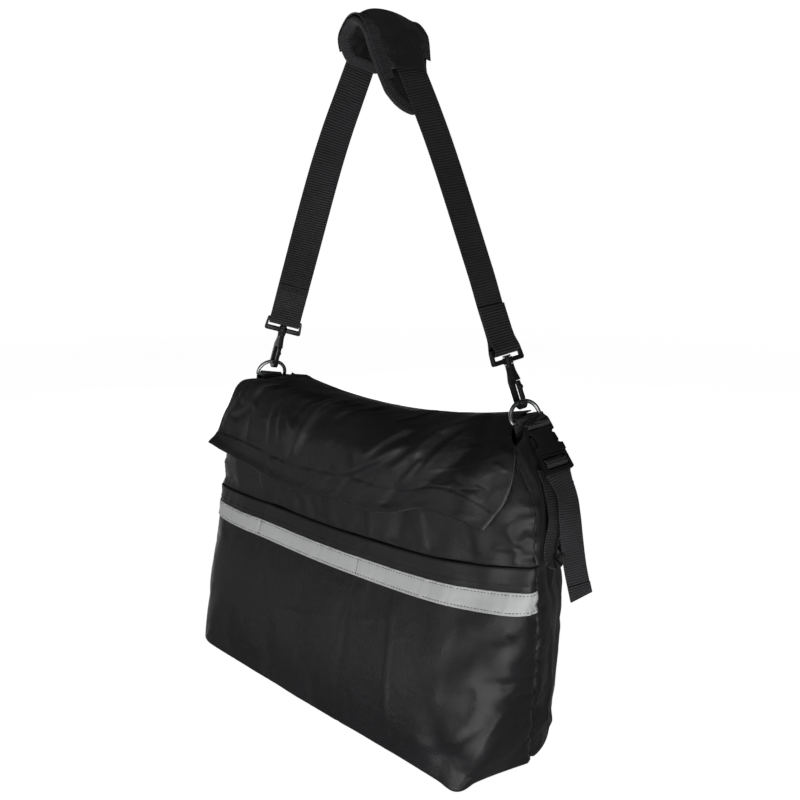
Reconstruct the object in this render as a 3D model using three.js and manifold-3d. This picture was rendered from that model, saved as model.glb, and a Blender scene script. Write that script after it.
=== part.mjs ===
// Wheelchair back bag: a soft nylon bag that hangs from its shoulder strap.
// Millimetres, +Z up, the front faces -Y. The origin is the hanging point under the shoulder pad.
// Below, a bag frame is used: z = 0 is the floor of the bag and y = 0 is the plane of the D-rings.
import * as THREE from 'three';
import { mergeVertices } from 'three/addons/utils/BufferGeometryUtils.js';
import Module from 'manifold-3d';

const wasm = await Module();
wasm.setup();

// Rows of a table as objects, from the names of its columns
function table(columns, rows) {
  const names = columns.split(' ');
  return rows.map((row) => Object.fromEntries(names.map((name, i) => [name, row[i]])));
}

// Cloth
const CLOTH = 1.5;
const CLEAR = 0.4;
const SEAM = 0.9;
const FRONT_TOP = 310;
const BACK_TOP = 341;
const FLAP_SEAT = 1;
const HEM_TOP = 215;
const HEM_HEIGHT = 18;
const HEM_EXTRA = 1;
const TAPE_TOP = 193;
const TAPE_WIDTH = 20;
const TAPE_THICK = 0.8;
const POCKET_INSET = 3;
const FLOOR_SAG = 4;
const FLOOR_THICK = 2;
const FLOOR_GAP = 0.6;
const FLOOR_RINGS = [1, 0.72, 0.4];
const ROLL = 0.12;
const FRONT_BULGE = 8;
const SIDE_BULGE = 7;
const BACK_BULGE = 4;

// Share of the front plan curve taken by its flat part and by its rounded corner
const FLAT_SHARE = 0.55;
const CORNER_SHARE = 0.85;
const CORNER_FRONT = 0.3;
const CORNER_SIDE = 0.55;
const RELIEF_END = 0.97;

// Plan of the body at several heights, half widths about a centre that shifts sideways
const LEVELS = table('z shift front_x front_y side_x side_y back_x back_y round', [
  [0, -13, 194, -119, 232, -25, 218, 50, 0.35],
  [57, -4, 205, -112, 229, -38, 209, 60, 0.6],
  [127, 1, 216, -90, 229, -46, 205, 65, 0.9],
  [215, 0, 218, -58, 228, -50, 204, 62, 1],
  [271, 0, 210, -52, 222, -45, 218, 57, 1],
  [290, 0, 197, -47, 211, -39, 215, 54, 1],
  [310, 0, 184, -42, 196, -33, 206, 52, 1],
  [347, 0, 165, -28, 180, -20, 187, 42, 1],
]);

// Share of a fold's length over which it fades at each end
const FOLD_FADE = 0.25;

// Soft creases of the front cloth: straight lines from one place to another, out (+) or in (-)
const FRONT_CREASES = table('x0 z0 x1 z1 height breadth', [
  [70, 155, 90, 20, 3, 9],
  [-61, 165, -63, 120, 2, 8],
  [-105, 100, 75, 118, -2.5, 10],
  [205, 62, 176, 4, 4, 9],
  [212, 160, 175, 105, -4, 15],
  [120, 70, 155, 38, -4, 22],
]);

// Flap from the back seam (v = 0) to its front edge (v = 1), both side edges and the dip between them
const FLAP_ROWS = table('v left_x left_y left_z right_x right_y right_z dip crown', [
  [0, -165, 49, 350, 166, 49, 350, 20, 0],
  [0.14, -166, 22, 355, 166, 22, 349, 15, 0],
  [0.28, -170, -12, 355, 173, -12, 339, 9, 0],
  [0.42, -207, -28, 350, 188, -31, 328, 4, 6],
  [0.62, -220, -44, 316, 197, -51, 309, 0, 13],
  [0.82, -226, -54, 291, 193, -61, 281, 0, 12],
  [1, -234, -64, 272, 174, -68, 249, 0, 8],
]);

// Wave of the flap's front edge, u from left to right
const FLAP_EDGE = table('u drop', [
  [0, 0],
  [0.2, 12],
  [0.35, 20],
  [0.55, 16],
  [0.71, 12],
  [0.83, -6],
  [1, 0],
]);

// Share of the flap, from the back, where the wave of its edge begins
const WAVE_START = 0.6;

// Folds of the flap in its own u, v, running down to the left
const FLAP_FOLDS = table('u0 v0 u1 v1 height breadth', [
  [0.95, 0.3, 0.62, 0.95, 6, 0.05],
  [0.8, 0.2, 0.42, 0.85, 4, 0.045],
  [0.6, 0.15, 0.22, 0.8, 4.5, 0.05],
  [0.35, 0.12, 0.08, 0.7, 4, 0.045],
  [0.98, 0.55, 0.8, 0.98, 4, 0.04],
]);

// Strap, pad and their turn about the vertical
const STRAP_WIDTH = 38;
const WEBBING = 1.6;
const ARCH_RADIUS = 36;
const ARCH_VIRTUAL_TOP = 826;
const LOOP_X = 161;
const LOOP_Z = 413;
const LEFT_LOOP_LIFT = 5;
const LEFT_TURN = THREE.MathUtils.degToRad(40);
const TOP_TURN = THREE.MathUtils.degToRad(71);
const RIGHT_TURN = THREE.MathUtils.degToRad(73);
const RING_TURN = THREE.MathUtils.degToRad(60);
const LEFT_BUCKLE_TURN = THREE.MathUtils.degToRad(85);
const RIGHT_BUCKLE_TURN = THREE.MathUtils.degToRad(51);
const ARCH_TWIST = THREE.MathUtils.degToRad(-26);
const TWIST_REACH = 95;
const PAD_STEP = 8;
const PAD_START = -8 * PAD_STEP;
const PAD_END = 15 * PAD_STEP;
const PAD_WIDTH = 80;
const PAD_THICK = 8;
const PAD_CLEAR = 0.9;
const PAD_BEVEL = 3;
const PAD_UNDERCUT = 5;
const PAD_ROUND = 34;
const PAD_POINT = 0.8;
const SLEEVE_START = -6 * PAD_STEP;
const SLEEVE_END = 10 * PAD_STEP;
const SLEEVE_THICK = 2;
const SLEEVE_LOOSE = 3.5;
const SLEEVE_ROUND = 0.6;
const SLEEVE_BORDER = 8;
const SEWN_BACK = 48;
const BRANCH_STEP = 30;

// Swivel loop, hook and gate, measured along the pull from the loop's lower bar
const LOOP_OUTER = 46;
const LOOP_BAR = 5;
const LOOP_HEIGHT = 14.5;
const LOOP_SIDE = 3.4;
const LOOP_CORNER = 3;
const LOOP_TAPER = 1;
const UPPER_BAR = 12;
const UPPER_BAR_RADIUS = 2.5;
const BOSS_RADIUS = 5.4;
const BOSS_LOW = -4;
const BOSS_HIGH = 3.4;
const STEM_RADIUS = 2.6;
const STEM_HEAD_RADIUS = 4.4;
const STEM_HEAD_TOP = 5.6;
const COLLAR_RADIUS = 4.8;
const COLLAR_LOW = -7.4;
const HOOK_THICK = 6;
const HOOK_HALF = 8.3;
const HOOK_LOW = -45;
const SHANK_TOP = -6;
const SHANK_TOP_HALF = 4;
const SHANK_WAIST = -12;
const SHANK_WAIST_HALF = 4.6;
const SHOULDER = -22.4;
const EYE_HALF = 4.5;
const EYE_TOP = -27;
const EYE_LOW = -44;
const GATE_HINGE = { through: -6.2, along: -24.8 };
const GATE_THICK = 4.4;
const GATE_HALF = 2;
const NUB_TOP = -2;
const NUB_LOW = -8;
const NUB_SLOPE = 2;
const NUB_OUT = 2.2;

// D-ring, and its distance along the pull below the loop's lower bar
const RING_DROP = 65;
const RING_WIRE = 2.25;
const RING_INSIDE = 32;
const RING_TOP = 19.7;
const RING_SQUARE = 0.8;

// Buckle, measured from the mouth of its socket
const BUCKLE_LEAN = THREE.MathUtils.degToRad(41.6);
const LEFT_BUCKLE_TIP = 0;
const RIGHT_BUCKLE_TIP = 0.27;
const LEFT_MOUTH = { x: 218, y: 6, z: 323 };
const RIGHT_MOUTH = { x: 217, y: -6, z: 322 };
const SOCKET_LENGTH = 36;
const SOCKET_THICK = 9;
const SOCKET_HALF = 17;
const SOCKET_TOP_HALF = 15.5;
const NOTCH_HALF = 10.5;
const NOTCH_LOW = 8;
const NOTCH_MIDDLE = 16;
const NOTCH_HIGH = 25;
const HOLLOW_WIDTH = 27;
const HOLLOW_THICK = 5.2;
const HOLLOW_DEPTH = 26;
const TAB_SLOT = 4.4;
const TAB_SLOT_DROP = 5;
const PRONG_LENGTH = 20;
const PRONG_WIDTH = 33;
const PRONG_THICK = 6;
const PRONG_SLOT_WIDTH = 26.4;
const PRONG_SLOT = 4.5;
const UPPER_SLOT = -5.6;
const LOWER_SLOT = -14.4;
const THIN_BAR = 3.4;
const ARM_THICK = 4.2;
const GUIDE_WIDTH = 3.6;
const GUIDE_TOP = 17;

// Outline of one release arm of the prong piece, from its root round its shoulder to its tip
const ARM_OUTLINE = table('out up', [
  [6, -2],
  [12.6, -2],
  [13, 9],
  [15.6, 13],
  [15, 21],
  [11.4, 23.6],
  [9.6, 12],
]);

// Webbing of the ring tab inside the bag, below the ring's bar, and round the end bar of the socket
const TAB_WIDTH = 27.5;
const TAB_TUCK = table('through up', [
  [13, -30],
  [7, -13],
]);
const TAB_FACE = SOCKET_THICK / 2 + 2;
const TAB_TURN = table('out down', [
  [TAB_FACE, -0.5],
  [TAB_FACE, 2.6],
  [TAB_FACE - 1.3, 4.6],
  [0, TAB_SLOT_DROP],
  [1.3 - TAB_FACE, 4.6],
  [-TAB_FACE, 2.6],
  [-TAB_FACE, -0.5],
]);

// Buckle webbing: sewn under the tab, a slack loop down the side, through the prong piece, then a free tail.
// On the side wall each place has its distance out, its distance back from the mouth, its z and its turn.
const BUCKLE_WEB = 25;
const SLACK_ROUTE = table('out back z turn', [
  [3.4, -2, 304, 84],
  [3.6, -7, 290, 84],
  [3.8, -14, 262, 85],
  [3, -21, 238, 87],
  [3, -23, 226, 88],
  [5.5, -22, 218, 88],
  [9, -16, 217, 87],
  [10.5, -5, 224, 86],
  [12, 7, 238, 84],
  [10, 12, 256, 82],
  [9, 9, 276, 80],
]);
const THREADED_ROUTE = table('out up', [
  [-8, -16],
  [-6, -7],
  [0, UPPER_SLOT],
  [3.4, -7.2],
  [3.7, -10],
  [3.2, -12.6],
  [0, -14.2],
  [-4, -16],
  [-4.6, -22],
]);
const TAIL_ROUTE = table('out back z turn', [
  [16, -4, 282, 62],
  [17, -8, 262, 52],
  [21.5, -9, 236, 47],
  [27, -9, 208, 46],
  [34, -9, 178, 46],
]);

const BLACK_CLOTH = { color: 0x17181a, roughness: 0.45, metalness: 0 };
const BLACK_WEB = { color: 0x141416, roughness: 0.75, metalness: 0 };
const BLACK_PLASTIC = { color: 0x121214, roughness: 0.4, metalness: 0 };
const GREY_STEEL = { color: 0x6c6e70, roughness: 0.3, metalness: 0.9 };
const SILVER_TAPE = { color: 0xb4b5b6, roughness: 0.4, metalness: 0.1 };

const vec = (x, y, z) => new THREE.Vector3(x, y, z);
const clamp01 = (t) => Math.min(Math.max(t, 0), 1);
const smooth = (t) => clamp01(t) ** 2 * (3 - 2 * clamp01(t));

// Every column of a table at a place between its rows, on a smooth curve through the rows
function sample(rows, key, place) {
  const last = rows.length - 1;
  let i = 0;
  while (i < last - 1 && place > rows[i + 1][key]) i += 1;
  const [before, a] = [rows[Math.max(i - 1, 0)], rows[i]];
  const [b, after] = [rows[i + 1], rows[Math.min(i + 2, last)]];
  const span = b[key] - a[key];
  const t = clamp01((place - a[key]) / span);
  const out = {};
  for (const name of Object.keys(a)) {
    const slopeA = (b[name] - before[name]) / (b[key] - before[key]);
    const slopeB = (after[name] - a[name]) / (after[key] - a[key]);
    const bend = (t - 2 * t ** 2 + t ** 3) * slopeA * span + (t ** 3 - t ** 2) * slopeB * span;
    out[name] = a[name] + (b[name] - a[name]) * smooth(t) + bend;
  }
  return out;
}

// Height of a fold at a place: a soft ridge along a line that fades at both of its ends
function ridge(x, y, x0, y0, x1, y1, breadth) {
  const [dx, dy] = [x1 - x0, y1 - y0];
  const along = ((x - x0) * dx + (y - y0) * dy) / (dx * dx + dy * dy);
  const away = ((x - x0) * dy - (y - y0) * dx) / Math.hypot(dx, dy);
  const fade = smooth(Math.min(along, 1 - along) / FOLD_FADE + 0.5);
  return fade * Math.exp(-((away / breadth) ** 2));
}

// Mesh from its points and the indices of its triangles
function meshFrom(name, points, faces, look) {
  const geometry = new THREE.BufferGeometry();
  geometry.setAttribute('position', new THREE.Float32BufferAttribute(points.flatMap((p) => p.toArray()), 3));
  geometry.setIndex(faces);
  geometry.computeVertexNormals();
  return named(name, geometry, look);
}

function named(name, geometry, look) {
  const mesh = new THREE.Mesh(geometry, new THREE.MeshStandardMaterial(look));
  mesh.name = name;
  return mesh;
}

// Sheet between an outer and an inner grid of points of the same size, closed along its four edges
function slab(name, outer, inner, look) {
  const rows = outer.length;
  const columns = outer[0].length;
  const points = [...outer.flat(), ...inner.flat()];
  const skin = rows * columns;
  const faces = [];
  const quad = (a, b, c, d) => faces.push(a, b, c, a, c, d);
  const at = (j, i) => j * columns + i;
  for (let j = 0; j < rows - 1; j += 1) {
    for (let i = 0; i < columns - 1; i += 1) {
      quad(at(j, i), at(j, i + 1), at(j + 1, i + 1), at(j + 1, i));
      quad(skin + at(j, i), skin + at(j + 1, i), skin + at(j + 1, i + 1), skin + at(j, i + 1));
    }
  }
  for (let i = 0; i < columns - 1; i += 1) {
    quad(at(0, i + 1), at(0, i), skin + at(0, i), skin + at(0, i + 1));
    const [left, right] = [at(rows - 1, i), at(rows - 1, i + 1)];
    quad(left, right, skin + right, skin + left);
  }
  for (let j = 0; j < rows - 1; j += 1) {
    quad(at(j, 0), at(j + 1, 0), skin + at(j + 1, 0), skin + at(j, 0));
    const [low, high] = [at(j, columns - 1), at(j + 1, columns - 1)];
    quad(high, low, skin + low, skin + high);
  }
  return meshFrom(name, points, faces, look);
}

// Section of (across, out) pairs carried along stations of point, across and out directions
function sweep(name, stations, sectionAt, look, closed = false) {
  const rings = stations.map((station, k) => sectionAt(k).map(([w, n]) => station.point.clone()
    .addScaledVector(station.across, w)
    .addScaledVector(station.out, n)));
  const sides = rings[0].length;
  const points = rings.flat();
  const faces = [];
  const spans = closed ? rings.length : rings.length - 1;
  for (let k = 0; k < spans; k += 1) {
    const next = ((k + 1) % rings.length) * sides;
    for (let i = 0; i < sides; i += 1) {
      const j = (i + 1) % sides;
      faces.push(k * sides + i, next + i, next + j, k * sides + i, next + j, k * sides + j);
    }
  }
  if (!closed) {
    const end = (rings.length - 1) * sides;
    for (let i = 1; i < sides - 1; i += 1) {
      faces.push(0, i, i + 1, end, end + i + 1, end + i);
    }
  }
  return meshFrom(name, points, faces, look);
}

// Stations along a route of points, each with the across direction that its ribbon has there
function stationsAlong(points, acrossAt) {
  return points.map((point, k) => {
    const ahead = points[Math.min(k + 1, points.length - 1)];
    const behind = points[Math.max(k - 1, 0)];
    const tangent = ahead.clone().sub(behind).normalize();
    const across = acrossAt(k).clone();
    across.addScaledVector(tangent, -across.dot(tangent)).normalize();
    return { point, across, out: tangent.clone().cross(across) };
  });
}

const webSection = (width, thick) => [
  [-width / 2, -thick / 2],
  [-width / 2, thick / 2],
  [width / 2, thick / 2],
  [width / 2, -thick / 2],
];

// Solids that are joined or cut
function solid(geometry) {
  const bare = geometry.clone();
  bare.deleteAttribute('normal');
  bare.deleteAttribute('uv');
  const merged = mergeVertices(bare, 1e-4);
  return new wasm.Manifold(new wasm.Mesh({
    numProp: 3,
    vertProperties: new Float32Array(merged.attributes.position.array),
    triVerts: new Uint32Array(merged.index.array),
  }));
}

function meshOf(name, manifold, look) {
  const made = manifold.getMesh();
  const geometry = new THREE.BufferGeometry();
  geometry.setAttribute('position', new THREE.Float32BufferAttribute(made.vertProperties, 3));
  geometry.setIndex(Array.from(made.triVerts));
  geometry.computeVertexNormals();
  return named(name, geometry, look);
}

const block = (x, y, z, atX = 0, atY = 0, atZ = 0) =>
  solid(new THREE.BoxGeometry(x, y, z).translate(atX, atY, atZ));
const THROUGH = 40;
const pin = (radius, low, high) =>
  solid(new THREE.CylinderGeometry(radius, radius, high - low, 12)
    .rotateX(Math.PI / 2)
    .translate(0, 0, (low + high) / 2));

// Outline in two coordinates, pulled to a plate of a thickness centred on its plane
function plate(shape, thick, curveSegments = 5) {
  const geometry = new THREE.ExtrudeGeometry(shape, { depth: thick, bevelEnabled: false, curveSegments });
  return geometry.translate(0, 0, -thick / 2);
}

// Body plan
function frontRelief(x, z) {
  const crease = (c) => c.height * ridge(x, z, c.x0, c.z0, c.x1, c.z1, c.breadth);
  return FRONT_CREASES.reduce((sum, c) => sum + crease(c), 0);
}

function frontPlan(row, z, s) {
  const t = Math.abs(s);
  const start = row.front_x * (1 - CORNER_FRONT * row.round);
  const bulged = (x) => row.front_y - FRONT_BULGE * row.round * (1 - (x / row.front_x) ** 2);
  const end = [
    row.front_x + (row.side_x - row.front_x) * CORNER_SIDE * row.round,
    row.front_y + (row.side_y - row.front_y) * CORNER_SIDE * row.round,
  ];
  let [x, y] = [start * t / FLAT_SHARE, bulged(start * t / FLAT_SHARE)];
  if (t > CORNER_SHARE) {
    const k = (t - CORNER_SHARE) / (1 - CORNER_SHARE);
    x = end[0] + (row.side_x - end[0]) * k;
    y = end[1] + (row.side_y - end[1]) * k;
  } else if (t > FLAT_SHARE) {
    const k = (t - FLAT_SHARE) / (CORNER_SHARE - FLAT_SHARE);
    x = start * (1 - k) ** 2 + row.front_x * 2 * k * (1 - k) + end[0] * k * k;
    y = bulged(start) * (1 - k) ** 2 + row.front_y * 2 * k * (1 - k) + end[1] * k * k;
  }
  const placed = Math.sign(s) * x + row.shift;
  return [placed, y - frontRelief(placed, z) * (t < RELIEF_END ? 1 : 0)];
}

function sidePlan(row, side, g) {
  const bulge = SIDE_BULGE * 4 * g * (1 - g);
  const x = row.side_x + (row.back_x - row.side_x) * g + bulge;
  return [side * x + row.shift, row.side_y + (row.back_y - row.side_y) * g];
}

function backPlan(row, b) {
  return [row.back_x * b + row.shift, row.back_y + BACK_BULGE * (1 - b * b)];
}

// Columns of the closed plan: front from left to right, right side, back from right to left, left side
const FRONT_COLUMNS = 28;
const SIDE_COLUMNS = 5;
const BACK_COLUMNS = 8;
const RIGHT_SEAM = FRONT_COLUMNS;
const RIGHT_BACK = RIGHT_SEAM + SIDE_COLUMNS;
const LEFT_BACK = RIGHT_BACK + BACK_COLUMNS;
const LEFT_SEAM = LEFT_BACK + SIDE_COLUMNS;

function planLoop(z) {
  const row = sample(LEVELS, 'z', z);
  const points = [];
  for (let i = 0; i < LEFT_SEAM; i += 1) {
    if (i <= RIGHT_SEAM) points.push(frontPlan(row, z, 2 * i / FRONT_COLUMNS - 1));
    else if (i <= RIGHT_BACK) points.push(sidePlan(row, 1, (i - RIGHT_SEAM) / SIDE_COLUMNS));
    else if (i <= LEFT_BACK) points.push(backPlan(row, 1 - 2 * (i - RIGHT_BACK) / BACK_COLUMNS));
    else points.push(sidePlan(row, -1, 1 - (i - LEFT_BACK) / SIDE_COLUMNS));
  }
  return points;
}

// Plan moved outward by a distance, mitred at its corners
function offsetLoop(points, distance) {
  const count = points.length;
  return points.map((p, i) => {
    const from = points[(i + count - 1) % count];
    const to = points[(i + 1) % count];
    const a = new THREE.Vector2(p[1] - from[1], from[0] - p[0]).normalize();
    const b = new THREE.Vector2(to[1] - p[1], p[0] - to[0]).normalize();
    const mitre = a.clone().add(b).normalize();
    const reach = distance / Math.max(mitre.dot(a), 0.5);
    return [p[0] + mitre.x * reach, p[1] + mitre.y * reach];
  });
}

// The floor of the bag hangs lower on the right
const rolled = (x, y, z) => vec(x, y, z - ROLL * x * Math.max(0, 1 - z / HEM_TOP));

// Top of the cloth at each column of the plan: level in front, higher at the sides, under the flap behind
function topAt(column) {
  if (column <= RIGHT_SEAM) return FRONT_TOP;
  if (column > RIGHT_BACK && column < LEFT_BACK) {
    const [x] = backPlan(LEVELS[LEVELS.length - 1], 1 - 2 * (column - RIGHT_BACK) / BACK_COLUMNS);
    const { left_x: left, right_x: right } = FLAP_ROWS[0];
    return flapBase((x - left) / (right - left), 0).z - CLOTH - FLAP_SEAT;
  }
  const share = column <= RIGHT_BACK ? column - RIGHT_SEAM : LEFT_SEAM - column;
  return FRONT_TOP + (BACK_TOP - FRONT_TOP) * smooth(share / (SIDE_COLUMNS * 0.5));
}

// Drop of the pocket's mouth below its two ends, by the place across the front
const MOUTH_SAG = table('across drop', [
  [-1, 0], [-0.6, 5.5], [-0.43, 6.5], [-0.15, 10.5], [0.1, 12], [0.35, 12.5], [0.53, 10], [0.66, 5], [0.8, 1.5],
  [1, 0],
]);

// Height of a level of the walls: on the front it sags with the mouth, less above and below it
function sagged(column, level) {
  if (column > RIGHT_SEAM) return level;
  const share = Math.min(level / HEM_TOP, (FRONT_TOP - level) / (FRONT_TOP - HEM_TOP));
  return level - sample(MOUTH_SAG, 'across', 2 * column / FRONT_COLUMNS - 1).drop * share;
}

const TAPE_LEVELS = [TAPE_TOP - TAPE_WIDTH, TAPE_TOP];
const POCKET_LEVELS = [0, 18, 40, 70, 105, 140, ...TAPE_LEVELS, HEM_TOP - HEM_HEIGHT, HEM_TOP];
const WALL_LEVELS = [...POCKET_LEVELS, 245, 271];
const TOP_SHARES = [0.5, 1];

function wallHeights(column) {
  const base = WALL_LEVELS[WALL_LEVELS.length - 1];
  return [...WALL_LEVELS, ...TOP_SHARES.map((share) => base + (topAt(column) - base) * share)];
}

// Grid of points over some columns of the plan, one row for each height, its ends drawn in by an inset
function wallGrid(first, last, heightsAt, outward, inset) {
  const columns = Array.from({ length: last - first + 1 }, (unused, k) => first + k);
  const rows = heightsAt(first).map((unused, j) => columns.map((column) => {
    const level = heightsAt(column)[j];
    const z = sagged(column, level);
    const [x, y] = offsetLoop(planLoop(z), outward(level))[column % LEFT_SEAM];
    return rolled(x, y, z);
  }));
  rows.forEach((row) => {
    const end = row.length - 1;
    row[0].addScaledVector(row[1].clone().sub(row[0]).normalize(), inset);
    row[end].addScaledVector(row[end - 1].clone().sub(row[end]).normalize(), inset);
  });
  return rows;
}

function wall(name, first, last) {
  const outer = wallGrid(first, last, wallHeights, () => 0, SEAM / 2);
  const inner = wallGrid(first, last, wallHeights, () => -CLOTH, SEAM / 2);
  return slab(name, outer, inner, BLACK_CLOTH);
}

function frontPocket() {
  const levels = () => POCKET_LEVELS;
  const outside = (level) => CLEAR + CLOTH + (level >= HEM_TOP - HEM_HEIGHT ? HEM_EXTRA : 0);
  const outer = wallGrid(0, RIGHT_SEAM, levels, outside, POCKET_INSET);
  const inner = wallGrid(0, RIGHT_SEAM, levels, () => CLEAR, POCKET_INSET);
  return slab('front_pocket', outer, inner, BLACK_CLOTH);
}

function reflectiveTape() {
  const levels = () => TAPE_LEVELS;
  const seat = CLEAR + CLOTH + CLEAR;
  const outer = wallGrid(0, RIGHT_SEAM, levels, () => seat + TAPE_THICK, POCKET_INSET);
  const inner = wallGrid(0, RIGHT_SEAM, levels, () => seat, POCKET_INSET);
  return slab('reflective_tape', outer, inner, SILVER_TAPE);
}

// Floor: rings of the plan shrunk to its middle, sagging there
function bottomPanel() {
  const outline = offsetLoop(planLoop(0), -CLOTH - FLOOR_GAP);
  const middle = [LEVELS[0].shift, (LEVELS[0].front_y + LEVELS[0].back_y) / 2];
  const shares = FLOOR_RINGS;
  const count = outline.length;
  const skin = (lift) => [
    ...shares.flatMap((share) => outline.map(([x, y]) => rolled(
      middle[0] + (x - middle[0]) * share,
      middle[1] + (y - middle[1]) * share,
      lift - FLOOR_SAG * (1 - share * share),
    ))),
    rolled(middle[0], middle[1], lift - FLOOR_SAG),
  ];
  const [top, low] = [skin(FLOOR_THICK), skin(0)];
  const faces = [];
  const apex = shares.length * count;
  const size = top.length;
  for (let i = 0; i < count; i += 1) {
    const j = (i + 1) % count;
    for (let ring = 0; ring < shares.length - 1; ring += 1) {
      const [a, b] = [ring * count + i, ring * count + j];
      const [c, d] = [a + count, b + count];
      faces.push(a, b, d, a, d, c);
      faces.push(size + a, size + d, size + b, size + a, size + c, size + d);
    }
    const [a, b] = [(shares.length - 1) * count + i, (shares.length - 1) * count + j];
    faces.push(a, b, apex, size + a, size + apex, size + b);
    faces.push(size + i, size + j, j, size + i, j, i);
  }
  return meshFrom('bottom_panel', [...top, ...low], faces, BLACK_CLOTH);
}

// Flap
function flapBase(u, v) {
  const row = sample(FLAP_ROWS, 'v', v);
  const arch = 4 * u * (1 - u);
  const wave = sample(FLAP_EDGE, 'u', u).drop * smooth((v - WAVE_START) / (1 - WAVE_START));
  return vec(
    row.left_x + (row.right_x - row.left_x) * u,
    row.left_y + (row.right_y - row.left_y) * u - row.crown * arch,
    row.left_z + (row.right_z - row.left_z) * u - row.dip * arch - wave,
  );
}

function flapNormal(surface, u, v) {
  const step = 0.01;
  const along = surface(u, Math.min(v + step, 1)).sub(surface(u, Math.max(v - step, 0)));
  const across = surface(Math.min(u + step, 1), v).sub(surface(Math.max(u - step, 0), v));
  return along.cross(across).normalize();
}

function flapSurface(u, v) {
  const fold = (f) => f.height * ridge(u, v, f.u0, f.v0, f.u1, f.v1, f.breadth);
  const lift = FLAP_FOLDS.reduce((sum, f) => sum + fold(f), 0);
  return flapBase(u, v).addScaledVector(flapNormal(flapBase, u, v), lift);
}

const FLAP_COLUMNS = 26;
const FLAP_STEPS = 15;

function flap() {
  const outer = [];
  const inner = [];
  for (let j = 0; j <= FLAP_STEPS; j += 1) {
    const v = 1 - j / FLAP_STEPS;
    const places = Array.from({ length: FLAP_COLUMNS + 1 }, (unused, i) => i / FLAP_COLUMNS);
    outer.push(places.map((u) => flapSurface(u, v)));
    inner.push(places.map((u) => flapSurface(u, v)
      .addScaledVector(flapNormal(flapSurface, u, v), -CLOTH)));
  }
  return slab('flap', outer, inner, BLACK_CLOTH);
}

// Strap: two straight branches that lean to each other and an arch between them
const LEAN = Math.atan2(LOOP_X, ARCH_VIRTUAL_TOP - LOOP_Z);
const ARCH_CENTRE = ARCH_VIRTUAL_TOP - ARCH_RADIUS / Math.sin(LEAN);
const ARCH_HALF = ARCH_RADIUS * (Math.PI / 2 - LEAN);
const STRAP_TOP = ARCH_CENTRE + ARCH_RADIUS;
const HANG_HEIGHT = STRAP_TOP - WEBBING / 2 - PAD_CLEAR - PAD_THICK;
const BRANCH = Math.hypot(LOOP_X, ARCH_VIRTUAL_TOP - LOOP_Z) - ARCH_RADIUS / Math.tan(LEAN) - UPPER_BAR;
const STRAP_HALF = ARCH_HALF + BRANCH;

// Place on the strap at a length from its top, positive to the right
function strapPoint(s) {
  const side = Math.sign(s);
  const angle = Math.min(Math.abs(s), ARCH_HALF) / ARCH_RADIUS;
  const past = Math.max(Math.abs(s) - ARCH_HALF, 0);
  const x = side * (ARCH_RADIUS * Math.sin(angle) + past * Math.sin(LEAN));
  const z = ARCH_CENTRE + ARCH_RADIUS * Math.cos(angle) - past * Math.cos(LEAN);
  return vec(x, 0, z).applyAxisAngle(vec(0, 0, 1), ARCH_TWIST * Math.exp(-((s / TWIST_REACH) ** 2)));
}

const flatAcross = (turn) => vec(Math.cos(turn), Math.sin(turn), 0);

function strapTurn(s) {
  const share = smooth(Math.abs(s) / STRAP_HALF);
  return TOP_TURN + ((s < 0 ? LEFT_TURN : RIGHT_TURN) - TOP_TURN) * share;
}

// Places a step apart under the pad, and further apart on the open branches
function steps(from, to, step) {
  const count = Math.round((to - from) / step);
  return Array.from({ length: count + 1 }, (unused, k) => from + (to - from) * k / count);
}

function strapStations(places) {
  return stationsAlong(places.map(strapPoint), (k) => flatAcross(strapTurn(places[k])));
}

// Frame of the metal and plastic at one end: x across, y through, z up along the pull
function endFrame(side, turn, origin) {
  const pull = vec(-side * Math.sin(LEAN), 0, Math.cos(LEAN));
  const across = flatAcross(turn);
  across.addScaledVector(pull, -across.dot(pull)).normalize();
  const frame = new THREE.Group();
  frame.matrix.makeBasis(across, pull.clone().cross(across), pull).setPosition(origin);
  frame.matrix.decompose(frame.position, frame.quaternion, frame.scale);
  return frame;
}

const SIDES = [
  {
    name: 'left', side: -1, loopTurn: LEFT_TURN, mouth: LEFT_MOUTH,
    buckleTurn: LEFT_BUCKLE_TURN, buckleTip: LEFT_BUCKLE_TIP,
  },
  {
    name: 'right', side: 1, loopTurn: RIGHT_TURN, mouth: RIGHT_MOUTH,
    buckleTurn: RIGHT_BUCKLE_TURN, buckleTip: RIGHT_BUCKLE_TIP,
  },
];

const loopOrigin = (side) => {
  const lift = side < 0 ? LEFT_LOOP_LIFT : 0;
  return vec(side * (LOOP_X - lift * Math.sin(LEAN)), 0, LOOP_Z + lift * Math.cos(LEAN));
};
const ringOrigin = (side) => loopOrigin(side)
  .add(vec(side * Math.sin(LEAN), 0, -Math.cos(LEAN)).multiplyScalar(RING_DROP));

// Webbing sewn back on itself round the loop's upper bar, as (through, along) pairs from the bar
const barWrap = UPPER_BAR_RADIUS * Math.SQRT2 + CLEAR + WEBBING / 2;
const SEWN_SIDE = table('through along', [
  [1, SEWN_BACK],
  [1, 24],
  [1.6, 12],
]);
const SEWN_ROUTE = [
  ...SEWN_SIDE.map(({ through, along }) => [-through, along]),
  ...[180, 225, 270, 315, 360].map((degrees) => {
    const angle = THREE.MathUtils.degToRad(degrees);
    return [barWrap * Math.cos(angle), barWrap * Math.sin(angle)];
  }),
  ...SEWN_SIDE.map(({ through, along }) => [through, along]).reverse(),
];

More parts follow.
